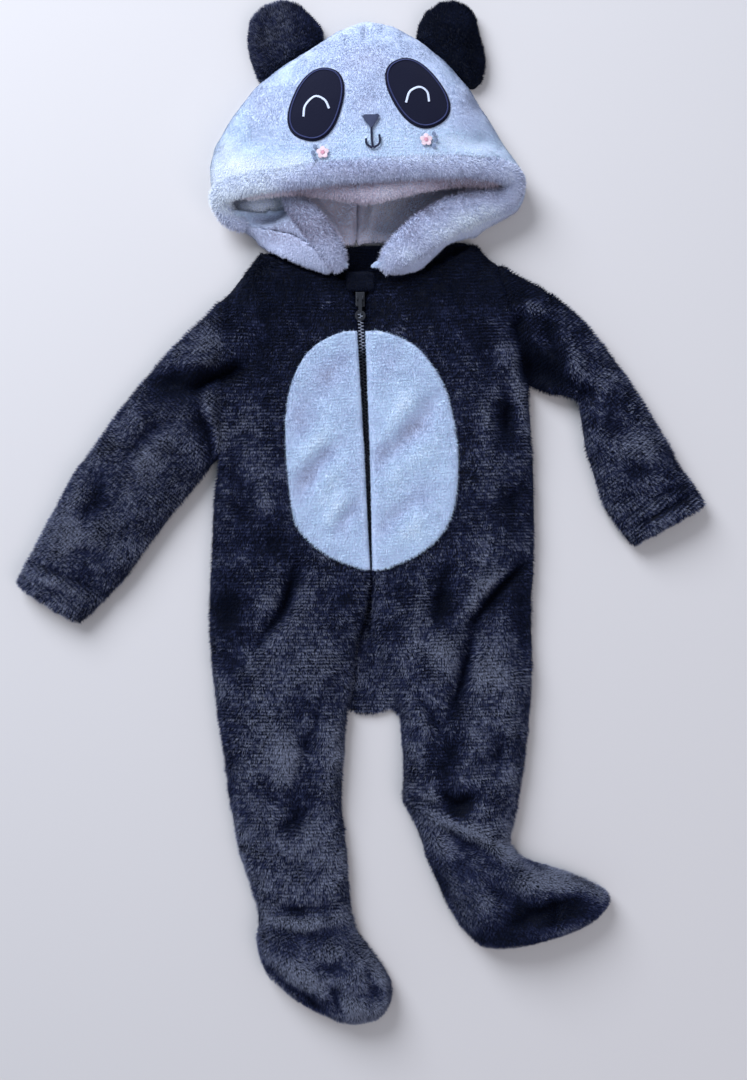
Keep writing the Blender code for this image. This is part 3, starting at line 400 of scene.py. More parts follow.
# The same painted light and shade on the white pieces: the tummy first, then the hood's face, cheeks, hem and
# rolls.
PAINTED_LIGHT_AND_SHADE_WHITE = [
    (-46, 66, 10, 16, -0.3), (-26, 102, 12, 12, -0.22), (-12, 116, 6, 14, -0.14), (-42, 22, 10, 12, -0.22),
    (19, 112, 8, 12, -0.2), (42, 62, 14, 10, -0.2), (15, 42, 6, 12, -0.24), (50, 10, 10, 14, -0.16),
    (22, -20, 8, 8, -0.14), (-16, -16, 6, 8, -0.16), (-4, 20, 6, 20, -0.1), (-32, 54, 10, 8, 0.2),
    (-20, 8, 8, 16, 0.18), (-30, 82, 8, 10, 0.12), (16, 134, 14, 6, 0.16), (30, 84, 10, 12, 0.18),
    (56, 34, 10, 14, 0.16), (42, -20, 12, 10, 0.2), (26, 16, 8, 14, 0.14), (-28, 124, 12, 6, 0.16),
    (4, 352, 26, 12, 0.05), (-60, 330, 20, 16, 0.16), (-100, 268, 20, 14, 0.4), (-118, 244, 14, 12, 0.4),
    (-92, 300, 16, 14, 0.3), (-78, 300, 16, 20, -0.16), (5, 296, 9, 20, -0.12), (4, 332, 20, 14, -0.2),
    (80, 270, 36, 9, 0.34), (10, 271, 22, 8, 0.2), (78, 292, 10, 22, -0.14), (-84, 250, 26, 11, 0.5),
    (-50, 250, 14, 9, 0.3), (70, 330, 10, 12, 0.1), (-50, 258, 16, 6, 0.1), (112, 250, 8, 10, 0.14),
    (-104, 230, 12, 10, 0.5), (-84, 232, 12, 9, 0.35), (-68, 230, 13, 9, 0.4), (24, 256, 76, 4, 0.28),
    (20, 244, 64, 4, -0.1), (-46, 228, 11, 9, -0.4), (-62, 209, 13, 10, -0.42), (-42, 208, 12, 11, -0.42),
    (-24, 209, 10, 10, -0.4), (16, 234, 12, 6, 0.3), (36, 238, 12, 6, 0.2), (6, 248, 22, 8, -0.14),
    (50, 224, 13, 8, -0.42), (78, 236, 17, 7, -0.42), (98, 238, 12, 8, -0.25), (36, 206, 7, 8, -0.3),
    (62, 205, 14, 7, 0.3), (80, 215, 14, 7, 0.5), (98, 224, 12, 7, 0.3), (34, 190, 12, 8, 0.2),
]


def painted_light_and_shade(points, patches):
    """Painted light and shade that the listed patches give each point."""
    total = np.zeros(len(points))
    for x, y, half_x, half_y, tone in patches:
        away = ((points[:, 0] - x) / half_x) ** 2 + ((points[:, 1] - y) / half_y) ** 2
        total += tone * np.exp(-away)
    return total


def to_segment(plan, start, end):
    """Distance of plan points from a straight line between two places, and how far along it they lie."""
    start = np.array(start, dtype=float)
    run = np.array(end, dtype=float) - start
    share = np.clip((plan - start) @ run / (run @ run), 0.0, 1.0)
    return np.linalg.norm(plan - start - share[:, None] * run, axis=1), share


def crease_rise(plan, creases):
    """Height that hand-placed folds add at each plan point; a fold fades towards both its ends."""
    total = np.zeros(len(plan))
    for _, path, half_width, rise in creases:
        nearest = np.full(len(plan), 1e9)
        along = np.zeros(len(plan))
        for k, (start, end) in enumerate(zip(path, path[1:])):
            away, share = to_segment(plan, start, end)
            closer = away < nearest
            nearest = np.where(closer, away, nearest)
            along = np.where(closer, (k + share) / (len(path) - 1), along)
        fade = 0.35 + 0.65 * np.sin(np.pi * np.clip(along, 0.0, 1.0))
        total += rise * fade * np.exp(-(nearest / half_width) ** 2)
    return total


print(len(CREASES), "folds placed by hand")

# %% [markdown]
# A skin could be modelled by hand or simulated. Here it is remeshed from the CAD wall, so it keeps the
# piece's own outline and height, and only its points are moved: first softened, then folded.

# %% Skin of a cloth piece
def skin(node, voxel=2.0, rounds=6, swell=1.0, creases=CREASES, keep=0.3, low=3.0):
    """An evenly meshed, softened and creased skin on a CAD wall; low is where folds begin to act."""
    mesh = nodes[node].data.copy()
    mesh.materials.clear()
    thing = add_object("work", mesh)
    weld = thing.modifiers.new("weld", "WELD")
    weld.merge_threshold = 0.05 * MM
    remesh = thing.modifiers.new("even", "REMESH")
    remesh.mode = "VOXEL"
    remesh.voxel_size = voxel * MM
    soft = thing.modifiers.new("soft", "SMOOTH")
    soft.factor = 0.6
    soft.iterations = rounds
    thing = evaluated(thing, "work")
    points = places(thing.data)
    if creases is CREASES:
        near_seam = np.min([to_segment(points[:, :2], *seam)[0] for seam in SEAMS], axis=0)
        swell = (swell + SEAM_BULGE * np.exp(-(near_seam / SEAM_REACH) ** 2))[:, None]
    points += normals_of(thing.data) * swell
    free = np.clip((points[:, 2] - low) / 10.0, 0.0, 1.0)
    points[:, 2] += crease_rise(points[:, :2], creases) * free * CREASE_DEPTH
    points[:, 2] = np.maximum(points[:, 2], 0.2)
    put_places(thing.data, points)
    fewer = thing.modifiers.new("fewer", "DECIMATE")
    fewer.ratio = keep
    made = evaluated(thing, "shell_" + node)
    smooth_faces(made.data)
    return made


# %% [markdown]
# ## Pile
# Coral fleece is a knit brushed into a short, dense pile. What the eye sees is its tufts: they stand in
# courses of the knit, lean with the nap, and catch the light in patches where a hand has stroked them.
# Those patches, and the shade in folds and the light on their ridges, are also painted into the tone.
# One Geometry Nodes tree grows it: points on the skin, drawn together into courses, each with one tuft.

# %% Geometry Nodes helpers
def new_tree(name, inputs):
    """An empty Geometry Nodes tree with named inputs; gives the tree and its two end nodes."""
    tree = bpy.data.node_groups.new(name, "GeometryNodeTree")
    tree.interface.new_socket("Geometry", in_out="INPUT", socket_type="NodeSocketGeometry")
    for title, kind in inputs:
        tree.interface.new_socket(title, in_out="INPUT", socket_type="NodeSocket" + kind)
    tree.interface.new_socket("Geometry", in_out="OUTPUT", socket_type="NodeSocketGeometry")
    return tree, tree.nodes.new("NodeGroupInput").outputs, tree.nodes.new("NodeGroupOutput").inputs[0]


def run_tree(thing, tree, name, values):
    """Run a tree on an object with its inputs set by socket identifier, and keep only the result."""
    step = thing.modifiers.new(name, "NODES")
    step.node_group = tree
    for item in tree.interface.items_tree:
        if item.in_out == "INPUT" and item.name in values:
            step[item.identifier] = values[item.name]
    return evaluated(thing, name)


MATH = "ShaderNodeMath"
VECTOR_MATH = "ShaderNodeVectorMath"
PLUS = {"operation": "ADD"}
LESS = {"operation": "SUBTRACT"}
TIMES = {"operation": "MULTIPLY"}
TIMES_PLUS = {"operation": "MULTIPLY_ADD"}
DIVIDED = {"operation": "DIVIDE"}
SCALED = {"operation": "SCALE"}

# %% [markdown]
# A real tuft is hundreds of fibres. Hair curves would show each one, but they don't survive as plain
# meshes, so a tuft is one narrow triangle, and some 900,000 of them make the cloth. The tree reads what
# the skin carries for each of its points: how dense, how tall, how much painted light and shade it
# gets, and which way it is combed.

# %% The tuft and the pile tree
def make_tuft():
    """One tuft: a narrow triangle with its own small map, 0 at the root and 1 at the tip."""
    mesh = bpy.data.meshes.new("tuft")
    mesh.from_pydata([(-0.5, 0, 0), (0.5, 0, 0), (0, 0, 1)], [], [(0, 2, 1)])
    grain = mesh.uv_layers.new(name="grain")
    for corner, place in enumerate([(0.0, 0.0), (0.5, 1.0), (1.0, 0.0)]):
        grain.data[corner].uv = place
    return bpy.data.objects.new("tuft", mesh)


# What the skin and the tuft carry for the tree: number or vector.
CARRIED = {"pile": "FLOAT", "row": "FLOAT", "tall": "FLOAT", "shade": "FLOAT", "tone": "FLOAT",
           "comb": "FLOAT_VECTOR", "under": "FLOAT_VECTOR", "grain": "FLOAT_VECTOR"}


def make_pile_tree():
    tree, given, result = new_tree("pile", [
        ("Tuft", "Object"), ("Density", "Float"), ("Length", "Float"), ("Width", "Float"), ("Lean", "Float"),
        ("Unruly", "Float"), ("Swirl", "Float"), ("Patch", "Float"), ("Mottle", "Float"), ("Course", "Float"),
        ("Depth", "Float"), ("Even", "Float"), ("Seed", "Int"), ("Finish", "Material")])
    seed = given["Seed"]
    read = {}
    for name, kind in CARRIED.items():
        read[name] = add_node(tree, "GeometryNodeInputNamedAttribute", {"data_type": kind}, {"Name": name})
    dense = add_node(tree, MATH, TIMES, {0: given["Density"], 1: read["pile"]})
    scatter = add_node(tree, "GeometryNodeDistributePointsOnFaces", {"distribute_method": "RANDOM"},
                       {"Mesh": given["Geometry"], "Density": dense, "Seed": seed})
    normal = scatter.outputs["Normal"]
    # Two sizes of mottling: the broad patches that a hand leaves, and small clumps of tufts.
    place = add_node(tree, "GeometryNodeInputPosition")
    scale = add_node(tree, MATH, DIVIDED, {0: 1.0, 1: given["Patch"]})
    broad = add_node(tree, "ShaderNodeTexNoise", None,
                     {"Vector": place, "Scale": scale, "Detail": 2.0, "Roughness": 0.6})
    long = add_node(tree, VECTOR_MATH, TIMES, {0: place, 1: (0.5, 1.5, 1.0)})
    clump = add_node(tree, "ShaderNodeTexNoise", None, {"Vector": long, "Scale": 440.0, "Detail": 1.0})
    # Courses of the knit: a wave along the nap, a little wandering, that draws the tufts together.
    turns = add_node(tree, MATH, DIVIDED, {0: read["row"], 1: given["Course"]})
    wander = add_node(tree, MATH, TIMES, {0: broad, 1: 5.0})
    phase = add_node(tree, MATH, TIMES_PLUS, {0: turns, 1: 2.0 * math.pi, 2: wander})
    wave = add_node(tree, MATH, {"operation": "SINE"}, {0: phase})
    reach = add_node(tree, MATH, TIMES, {0: given["Depth"], 1: given["Course"]})
    pull = add_node(tree, MATH, TIMES, {0: wave, 1: reach})
    pull = add_node(tree, MATH, TIMES, {0: pull, 1: 0.22})
    shift = add_node(tree, VECTOR_MATH, SCALED, {0: read["comb"], 3: pull})
    moved = add_node(tree, "GeometryNodeSetPosition", None,
                     {"Geometry": scatter.outputs["Points"], "Offset": shift})
    ripple = add_node(tree, MATH, {"operation": "COSINE"}, {0: phase})
    crest = add_node(tree, MATH, TIMES, {0: ripple, 1: given["Depth"]})
    # The way a tuft points: off the cloth, with the nap, turned by the broad patches and a little at random.
    swirl = add_node(tree, VECTOR_MATH, LESS, {0: broad.outputs["Color"], 1: (0.5, 0.5, 0.5)})
    swirl = add_node(tree, VECTOR_MATH, SCALED, {0: swirl, 3: given["Swirl"]})
    lay = add_node(tree, VECTOR_MATH, PLUS, {0: read["comb"], 1: swirl})
    lay = add_node(tree, VECTOR_MATH, SCALED, {0: lay, 3: given["Lean"]})
    wild = add_node(tree, "FunctionNodeRandomValue", {"data_type": "FLOAT_VECTOR"},
                    {0: (-1.0, -1.0, -1.0), 1: (1.0, 1.0, 1.0), "Seed": seed})
    wild = add_node(tree, VECTOR_MATH, SCALED, {0: wild, 3: given["Unruly"]})
    heading = add_node(tree, VECTOR_MATH, PLUS, {0: normal, 1: lay})
    heading = add_node(tree, VECTOR_MATH, PLUS, {0: heading, 1: wild})
    aimed = add_node(tree, "FunctionNodeAlignRotationToVector", {"axis": "Z"}, {"Vector": heading})
    faced = add_node(tree, "FunctionNodeAlignRotationToVector", {"axis": "Y", "pivot_axis": "Z"},
                     {"Rotation": aimed, "Vector": normal})
    # Its size: a little uneven, and taller on the crest of a course.
    uneven = add_node(tree, "FunctionNodeRandomValue", {"data_type": "FLOAT"}, {2: 0.7, 3: 1.2, "Seed": seed})
    raised = add_node(tree, MATH, TIMES, {0: crest, 1: 0.3})
    share = add_node(tree, MATH, PLUS, {0: uneven.outputs[1], 1: raised})
    length = add_node(tree, MATH, TIMES, {0: given["Length"], 1: read["tall"]})
    height = add_node(tree, MATH, TIMES, {0: length, 1: share})
    size = add_node(tree, "ShaderNodeCombineXYZ", None, {"X": given["Width"], "Y": 1.0, "Z": height})
    tuft_in = add_node(tree, "GeometryNodeObjectInfo", None, {"Object": given["Tuft"]})
    tufts = add_node(tree, "GeometryNodeInstanceOnPoints", None,
                     {"Points": moved, "Instance": tuft_in.outputs["Geometry"], "Rotation": faced,
                      "Scale": size})
    # The tone of a tuft, with the painted light and shade from the skin, goes into its map, so that one
    # colour ramp can colour the whole piece.
    clumps = add_node(tree, MATH, LESS, {0: clump, 1: 0.5})
    clumps = add_node(tree, MATH, TIMES, {0: clumps, 1: 1.25})
    patches = add_node(tree, MATH, LESS, {0: broad, 1: 0.5})
    mottle = add_node(tree, MATH, PLUS, {0: patches, 1: clumps})
    usual = add_node(tree, MATH, TIMES_PLUS, {0: crest, 1: 0.3, 2: 0.45})
    tone = add_node(tree, MATH, TIMES_PLUS, {0: mottle, 1: given["Mottle"], 2: usual})
    tone = add_node(tree, MATH, PLUS, {0: tone, 1: read["shade"]})
    luck = add_node(tree, "FunctionNodeRandomValue", {"data_type": "FLOAT"},
                    {2: -0.07, 3: 0.07, "Seed": seed})
    tone = add_node(tree, MATH, PLUS, {0: tone, 1: luck.outputs[1]})
    kept = add_node(tree, "GeometryNodeStoreNamedAttribute", {"data_type": "FLOAT", "domain": "INSTANCE"},
                    {"Geometry": tufts, "Name": "tone", "Value": tone})
    real = add_node(tree, "GeometryNodeRealizeInstances", None, {"Geometry": kept})
    # Many fine fibres together scatter light like the cloth they stand on, so a tuft's normal is drawn
    # towards the cloth's own.
    own = add_node(tree, "GeometryNodeInputNormal")
    drawn = add_node(tree, "ShaderNodeMix", {"data_type": "VECTOR"},
                     {0: given["Even"], 4: own, 5: read["under"]})
    drawn = add_node(tree, VECTOR_MATH, {"operation": "NORMALIZE"}, {0: drawn.outputs[1]})
    lit = add_node(tree, "GeometryNodeSetMeshNormal", {"mode": "FREE", "domain": "POINT"},
                   {"Mesh": real, "Custom Normal": drawn})
    grain = add_node(tree, "ShaderNodeSeparateXYZ", None, {0: read["grain"]})
    held = add_node(tree, "ShaderNodeClamp", None, {0: read["tone"], "Min": 0.02, "Max": 0.97})
    across = add_node(tree, MATH, TIMES_PLUS, {0: grain.outputs[0], 1: 0.01, 2: held})
    up = add_node(tree, MATH, TIMES_PLUS, {0: grain.outputs[1], 1: 0.96, 2: 0.02})
    on_map = add_node(tree, "ShaderNodeCombineXYZ", None, {"X": across, "Y": up})
    mapped = add_node(tree, "GeometryNodeStoreNamedAttribute", {"data_type": "FLOAT2", "domain": "CORNER"},
                      {"Geometry": lit, "Name": "OFBake", "Value": on_map})
    dyed = add_node(tree, "GeometryNodeSetMaterial", None, {"Geometry": mapped, "Material": given["Finish"]})
    tree.links.new(dyed.outputs[0], result)
    return tree


tuft = make_tuft()
pile_tree = make_pile_tree()
print("pile tree", len(pile_tree.nodes), "nodes")

# %% [markdown]
# ## Fleece
# Polyester coral fleece in black with a blue cast, and in a cool white. The ground is a dull knit that
# only shows between tufts. Each tuft is dark at its root and paler at its tip, with the soft sheen of
# fine bright fibres seen edge on, which is what makes the folds glow at their rims.
# White pile has three close tones: the plain one, and two copies with painted warm light. Light passed
# from layer to layer of the hood comes out warmer: a little at its turned edges, more inside it.

# %% Fleece materials
def pile_finish(name, root, tones, sheen, tint, clear=0.0):
    """Pile coloured by its map: first axis the tone of the tuft with its painted light and shade, second
    axis from root to tip.

    clear is how much of the tuft's own tone its root already shows.
    """
    made, tree, shader = new_material(name)
    where = add_node(tree, "ShaderNodeUVMap", {"uv_map": "OFBake"})
    split = add_node(tree, "ShaderNodeSeparateXYZ", None, {0: where})
    ramp = add_node(tree, "ShaderNodeValToRGB", None, {0: split.outputs[0]})
    stops = ramp.color_ramp.elements
    while len(stops) < len(tones):
        stops.new(0.5)
    for stop, (position, colour) in zip(stops, tones):
        stop.position = position
        stop.color = linear(colour)
    share = add_node(tree, MATH, TIMES_PLUS, {0: split.outputs[1], 1: 1.0 - clear, 2: clear})
    mix = add_node(tree, "ShaderNodeMix", {"data_type": "RGBA"}, {0: share, 6: linear(root), 7: ramp})
    tree.links.new(mix.outputs[2], shader.inputs["Base Color"])
    shader.inputs["Roughness"].default_value = 0.8
    shader.inputs["Specular IOR Level"].default_value = 0.1
    shader.inputs["Sheen Weight"].default_value = sheen
    shader.inputs["Sheen Roughness"].default_value = 0.4
    shader.inputs["Sheen Tint"].default_value = linear(tint)
    return made


def ground_finish(name, dark, light, size):
    """The knit ground under the pile: two close tones in blotches a few millimetres across."""
    made, tree, shader = new_material(name)
    where = add_node(tree, "ShaderNodeTexCoord")
    blotch = add_node(tree, "ShaderNodeTexNoise", None,
                      {"Vector": where.outputs["Object"], "Scale": 1.0 / (size * MM), "Detail": 3.0})
    mix = add_node(tree, "ShaderNodeMix", {"data_type": "RGBA"},
                   {0: blotch, 6: linear(dark), 7: linear(light)})
    bump = add_node(tree, "ShaderNodeBump", None, {"Height": blotch, "Strength": 0.5, "Distance": 1.0 * MM})
    tree.links.new(mix.outputs[2], shader.inputs["Base Color"])
    tree.links.new(bump.outputs[0], shader.inputs["Normal"])
    shader.inputs["Roughness"].default_value = 0.9
    shader.inputs["Specular IOR Level"].default_value = 0.2
    return made


# The low end of each ramp is also the colour that painted shade gives a tuft.
BLACK_TONES = [(0.05, "#030a1e"), (0.32, "#141b31"), (0.6, "#383e60"), (0.95, "#999cac")]
WHITE_TONES = [(0.04, "#958c9c"), (0.3, "#b9c1d6"), (0.56, "#cde0eb"), (0.95, "#fffffa")]
EDGE_WARM_LIGHT_TONES = [(0.04, "#958c9c"), (0.3, "#c0bfd0"), (0.56, "#d8dae8"), (0.95, "#fbffff")]
INNER_WARM_LIGHT_TONES = [(0.04, "#96868d"), (0.3, "#ccbcc5"), (0.56, "#eee2e7"), (0.95, "#fffaf8")]
FLEECE_PILE = "polyester coral fleece pile"
WHITE_SHEEN = 0.12
WHITE_CLEAR = 0.6
black_pile = pile_finish("black " + FLEECE_PILE, "#04050b", BLACK_TONES, 0.16, "#8fa6f0")
white_pile = pile_finish("white " + FLEECE_PILE, "#cbd6e6", WHITE_TONES, WHITE_SHEEN, "#f0f6ff", WHITE_CLEAR)
edge_pile_warm_light = pile_finish("white " + FLEECE_PILE + " at turned edges", "#cfd2e0", EDGE_WARM_LIGHT_TONES, WHITE_SHEEN,
                        "#f0f6ff", WHITE_CLEAR)
inner_pile_warm_light = pile_finish("white " + FLEECE_PILE + " inside the hood", "#dccfd8", INNER_WARM_LIGHT_TONES, WHITE_SHEEN,
                         "#fff0f4", WHITE_CLEAR)
grounds = {"black_fleece": ground_finish("black polyester fleece knit", "#07080e", "#11141f", 4.0),
           "white_fleece": ground_finish("white polyester fleece knit", "#c3cadb", "#d0d8e8", 4.0)}

# Tufts a square metre, their size, how far they lean with the nap and stray from it, the size and strength
# of the mottling, the pitch and depth of the knit's courses, and how evenly the tufts take the light.
COURSE = 2.4 * MM
BLACK = {"Density": 2.25e6, "Length": 2.9 * MM, "Width": 0.62 * MM, "Lean": 0.9, "Unruly": 0.45,
         "Swirl": 3.0, "Patch": 19.0 * MM, "Mottle": 0.7, "Course": COURSE, "Depth": 0.65, "Even": 0.6,
         "Finish": black_pile}
WHITE = {"Density": 2.9e6, "Length": 1.8 * MM, "Width": 0.55 * MM, "Lean": 1.0, "Unruly": 0.4,
         "Swirl": 1.6, "Patch": 12.0 * MM, "Mottle": 0.1, "Course": COURSE, "Depth": 0.25, "Even": 0.9,
         "Finish": white_pile}


def grow_pile(shell, nap, settings, seed, pile=None, tall=None, shade=None, name="pile_"):
    """Pile on a skin. nap is the way it is combed; pile, tall and shade vary its density, length and painted
    light and shade.
    """
    mesh = shell.data.copy()
    count = len(mesh.vertices)
    points = places(mesh)
    nap = np.array(nap, dtype=float) / np.linalg.norm(nap)
    set_attribute(mesh, "comb", np.tile(nap, (count, 1)))
    set_attribute(mesh, "row", -(points @ nap) * MM)
    set_attribute(mesh, "under", softened_normals(mesh, 5))
    for key, given, usual in (("pile", pile, 1.0), ("tall", tall, 1.0), ("shade", shade, 0.0)):
        set_attribute(mesh, key, np.full(count, usual) if given is None else given)
    values = {**settings, "Tuft": tuft, "Seed": seed}
    return run_tree(add_object("work", mesh), pile_tree, shell.name.replace("shell_", name), values)


counts = {}


def sew_on(piece, node=None):
    """Body of a finished piece, and its CAD node hidden; it is counted too."""
    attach(piece, "onesie")
    if node:
        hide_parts(node)
    piece.data.calc_loop_triangles()
    counts[piece.name] = len(piece.data.loop_triangles)


def clothe(shell, node, fleece, nap, settings, seed, pile, tall=None, shade=None):
    """Give a skin its knit ground and its pile, and hand back the pile."""
    shell.data.materials.append(grounds[fleece])
    sew_on(shell, node)
    grown = grow_pile(shell, nap, settings, seed, pile, tall, shade)
    sew_on(grown)
    print(shell.name, counts[shell.name], "pile", counts[grown.name])
    return grown


# %% [markdown]
# ## Body, legs, sleeves and feet
# Cut in black fleece. The nap runs down the body, down each sleeve to its cuff and forward on the feet.
# The tufts are few where a piece is pressed on the surface or hidden under another one.
# Near the neck the pile lies away from the light and painted shade makes it nearly black; on the legs
# painted light makes it greyer.

# %% Outlines that cover pile
# The tummy's oval: place along the body, then its left and right edges.
TUMMY = [(134.5, -8, 12), (131, -21, 25), (123, -35, 41), (111, -45, 52), (95, -52, 62), (76, -56, 68),
         (53, -56.5, 72), (29, -55, 73), (7, -52.5, 71), (-9, -49.5, 66), (-23, -39, 56), (-34, -24, 41),
         (-41, -7, 25), (-43.5, 0.5, 17), (-45, 5.5, 11)]
tummy_outline = [(left, y) for y, left, _ in TUMMY] + [(right, y) for y, _, right in TUMMY[::-1]]


def shrunk(outline, amount):
    """An outline moved in towards its middle."""
    middle = np.mean(outline, axis=0)
    reach = np.linalg.norm(np.array(outline) - middle, axis=1).mean()
    return [tuple(middle + (np.array(p) - middle) * (1.0 - amount / reach)) for p in outline]


under_tummy = shrunk(tummy_outline, 4.0)

# %% Black pieces
BLACK_PIECES = [
    ("front_left", (0.0, -1.0, 0.0)),
    ("front_right", (0.05, -1.0, 0.0)),
    ("back", (0.0, -1.0, 0.0)),
    ("sleeve_left", (-0.68, -0.73, 0.0)),
    ("sleeve_right", (0.62, -0.78, 0.0)),
    ("foot_upper_left", (0.45, -0.89, 0.0)),
    ("foot_upper_right", (0.86, -0.5, 0.0)),
    ("foot_sole_left", (0.45, -0.89, 0.0)),
    ("foot_sole_right", (0.86, -0.5, 0.0)),
]
# Painted light for pieces whose nap lies more towards the light, or away from it, than the body's.
PAINTED_LIGHT_BY_PIECE = {"sleeve_left": 0.16, "sleeve_right": 0.16, "foot_upper_left": 0.1, "foot_upper_right": 0.02}
skins = {}
for number, (node, nap) in enumerate(BLACK_PIECES):
    if node in ("back", "foot_sole_left", "foot_sole_right"):
        shell = skin(node, swell=0.4, creases=[], keep=0.16)
    else:
        shell = skin(node)
    points = places(shell.data)
    normals = normals_of(shell.data)
    z = points[:, 2]
    pile = np.clip(normals[:, 2] * 1.4 + 0.7, 0.0, 1.0)
    tall = np.ones(len(points))
    below = (normals[:, 2] < -0.4) & (z < 4.0)
    pile[below] = 0.12
    tall[below] = 0.35
    if node.startswith("front"):
        pile[inside(points[:, :2], under_tummy)] = 0.0
        pile[(normals[:, 2] < 0.0) & (z > 6.0)] = 0.0
    if node.startswith("foot_sole"):
        pile[~(z < 2.4)] = 0.0
    if node == "back":
        neck = points[:, 1] > 172.0
        seat = (np.abs(points[:, 0] - 6.0) < 26.0) & (points[:, 1] < -60.0)
        edge = z < 2.2
        pile[~(neck | seat | edge | below)] = 0.0
    # Painted shade darkens the pile towards the neck and painted light makes the legs greyer, by height.
    shade = np.interp(points[:, 1], [-390, -240, -200, -90, -60, 20, 130, 165, 200],
                      [0.2, 0.22, 0.16, 0.08, 0.03, -0.01, -0.03, -0.3, -0.52])
    # Painted shade in the troughs of folds, painted light on their ridges, and the painted patches.
    shade += 0.1 * crease_rise(points[:, :2], CREASES) + 1.5 * painted_light_and_shade(points, PAINTED_LIGHT_AND_SHADE)
    if node in PAINTED_LIGHT_BY_PIECE:
        shade += PAINTED_LIGHT_BY_PIECE[node]
    # Painted shade on the right sleeve towards the shoulder.
    if node == "sleeve_right":
        shade -= np.interp(points[:, 0], [130.0, 180.0], [0.2, 0.0])
    # Painted shade at the back's neck.
    if node == "back":
        shade -= 0.25 * (points[:, 1] > 150.0)
    settings = {**BLACK, "Depth": 0.35, "Mottle": 0.5} if node.startswith("foot") else BLACK
    grown = clothe(shell, node, "black_fleece", nap, settings, 11 + number, pile, tall, shade)
    skins[node] = (shell, grown)

# %% [markdown]
# ## White tummy
# Two halves of an oval, each sewn to one front under the fleece, with the zip between them.
# They take their height from the fronts they lie on, so the same folds run through both.

# %% Surfaces to lay things on
def bvh_of(*shells):
    """One search tree over some skins, in metres."""
    points = []
    faces = []
    for shell in shells:
        start = len(points)
        points += [v.co.copy() for v in shell.data.vertices]
        faces += [tuple(start + k for k in f.vertices) for f in shell.data.polygons]
    return BVHTree.FromPolygons(points, faces)


def height_on(tree, x, y, otherwise=0.0):
    """Height of the topmost surface under a place in plan, in millimetres."""
    hit = tree.ray_cast(Vector((x * MM, y * MM, 0.2)), Vector((0.0, 0.0, -1.0)))[0]
    return hit.z / MM if hit else otherwise


def laid_panel(name, rows, surface, thick, sink):
    """A closed sheet on a surface from rows of plan points, thinner and lower at its edges."""
    points = []
    count = len(rows[0])
    last = len(rows) - 1
    tops = [[height_on(surface, x, y, 17.0) for x, y in row] for row in rows]
    for layer in (1, 0):
        for r, row in enumerate(rows):
            for c, (x, y) in enumerate(row):
                edge = min(r, last - r, c, count - 1 - c)
                lift = thick * (0.35, 0.8, 1.0)[min(edge, 2)] if layer else -sink
                points.append((x, y, tops[r][c] + lift))
    faces = []
    half = count * len(rows)
    for r in range(last):
        for c in range(count - 1):
            a = r * count + c
            faces.append((a, a + 1, a + count + 1, a + count))
            faces.append((half + a, half + a + count, half + a + count + 1, half + a + 1))
    border = [(0, c) for c in range(count)] + [(r, count - 1) for r in range(1, last + 1)]
    border += [(last, c) for c in range(count - 2, -1, -1)] + [(r, 0) for r in range(last - 1, 0, -1)]
    for (r, c), (s, d) in zip(border, border[1:] + border[:1]):
        a, b = r * count + c, s * count + d
        faces.append((a, half + a, half + b, b))
    return add_object(name, closed_mesh(name, points, faces))


ZIP_LINE = [(173, -0.5), (159, -0.5), (143, -0.2), (99, 2.0), (43, 4.65), (9, 5.9), (-46, 7.8)]


def zip_x(y):
    return float(np.interp(y, [p[0] for p in ZIP_LINE[::-1]], [p[1] for p in ZIP_LINE[::-1]]))


# %% [markdown]
# Each half is a closed sheet laid on the fronts from rows of points between the oval's edge and the zip.
# Its pile is a plusher one than the hood's, a little longer and less combed.

# %% Tummy halves
PLUSH = {**WHITE, "Length": 2.2 * MM, "Unruly": 0.55, "Depth": 0.25, "Mottle": 0.2, "Even": 0.84}
front_surface = bvh_of(skins["front_left"][0], skins["front_right"][0])
outline_rows = smooth_line([(y, left, right) for y, left, right in TUMMY], 5)
for side, column in (("left", 1), ("right", 2)):
    rows = []
    for row in outline_rows:
        y = row[0]
        half_gap = np.interp(y, [-42, -10, 40, 135], [0.8, 1.6, 2.2, 3.2])
        inner = zip_x(y) + (-half_gap if side == "left" else half_gap)
        rows.append([(row[column] + (inner - row[column]) * s, y) for s in
                     (0.0, 0.02, 0.05, *np.linspace(0.1, 0.9, 17), 0.95, 0.98, 1.0)])
    shell = laid_panel("shell_tummy_" + side, rows, front_surface, 2.2, 1.0)
    normals = normals_of(shell.data)
    points = places(shell.data)
    pile = np.clip(normals[:, 2] * 2.0 + 0.8, 0.0, 1.0)
    to_zip = np.abs(points[:, 0] - np.array([zip_x(y) for y in points[:, 1]]))
    tall = np.clip(0.35 + to_zip / 12.0, 0.4, 1.0)
    # Painted shade in the troughs of folds, painted light on their ridges, and the painted patches.
    shade = 0.12 * crease_rise(points[:, :2], CREASES) + 0.6 * painted_light_and_shade(points, PAINTED_LIGHT_AND_SHADE_WHITE)
    grown = clothe(shell, "tummy_" + side, "white_fleece", (0.1, -1.0, 0.0), PLUSH, 31 + column, pile, tall,
                   shade)
    skins["tummy_" + side] = (shell, grown)

# %% [markdown]
# ## Hood
# White fleece inside and out. The face panel springs forward over its opening and is drawn in at the
# side seams. The back lies on the surface, its lining falls in a few folds towards the nape.

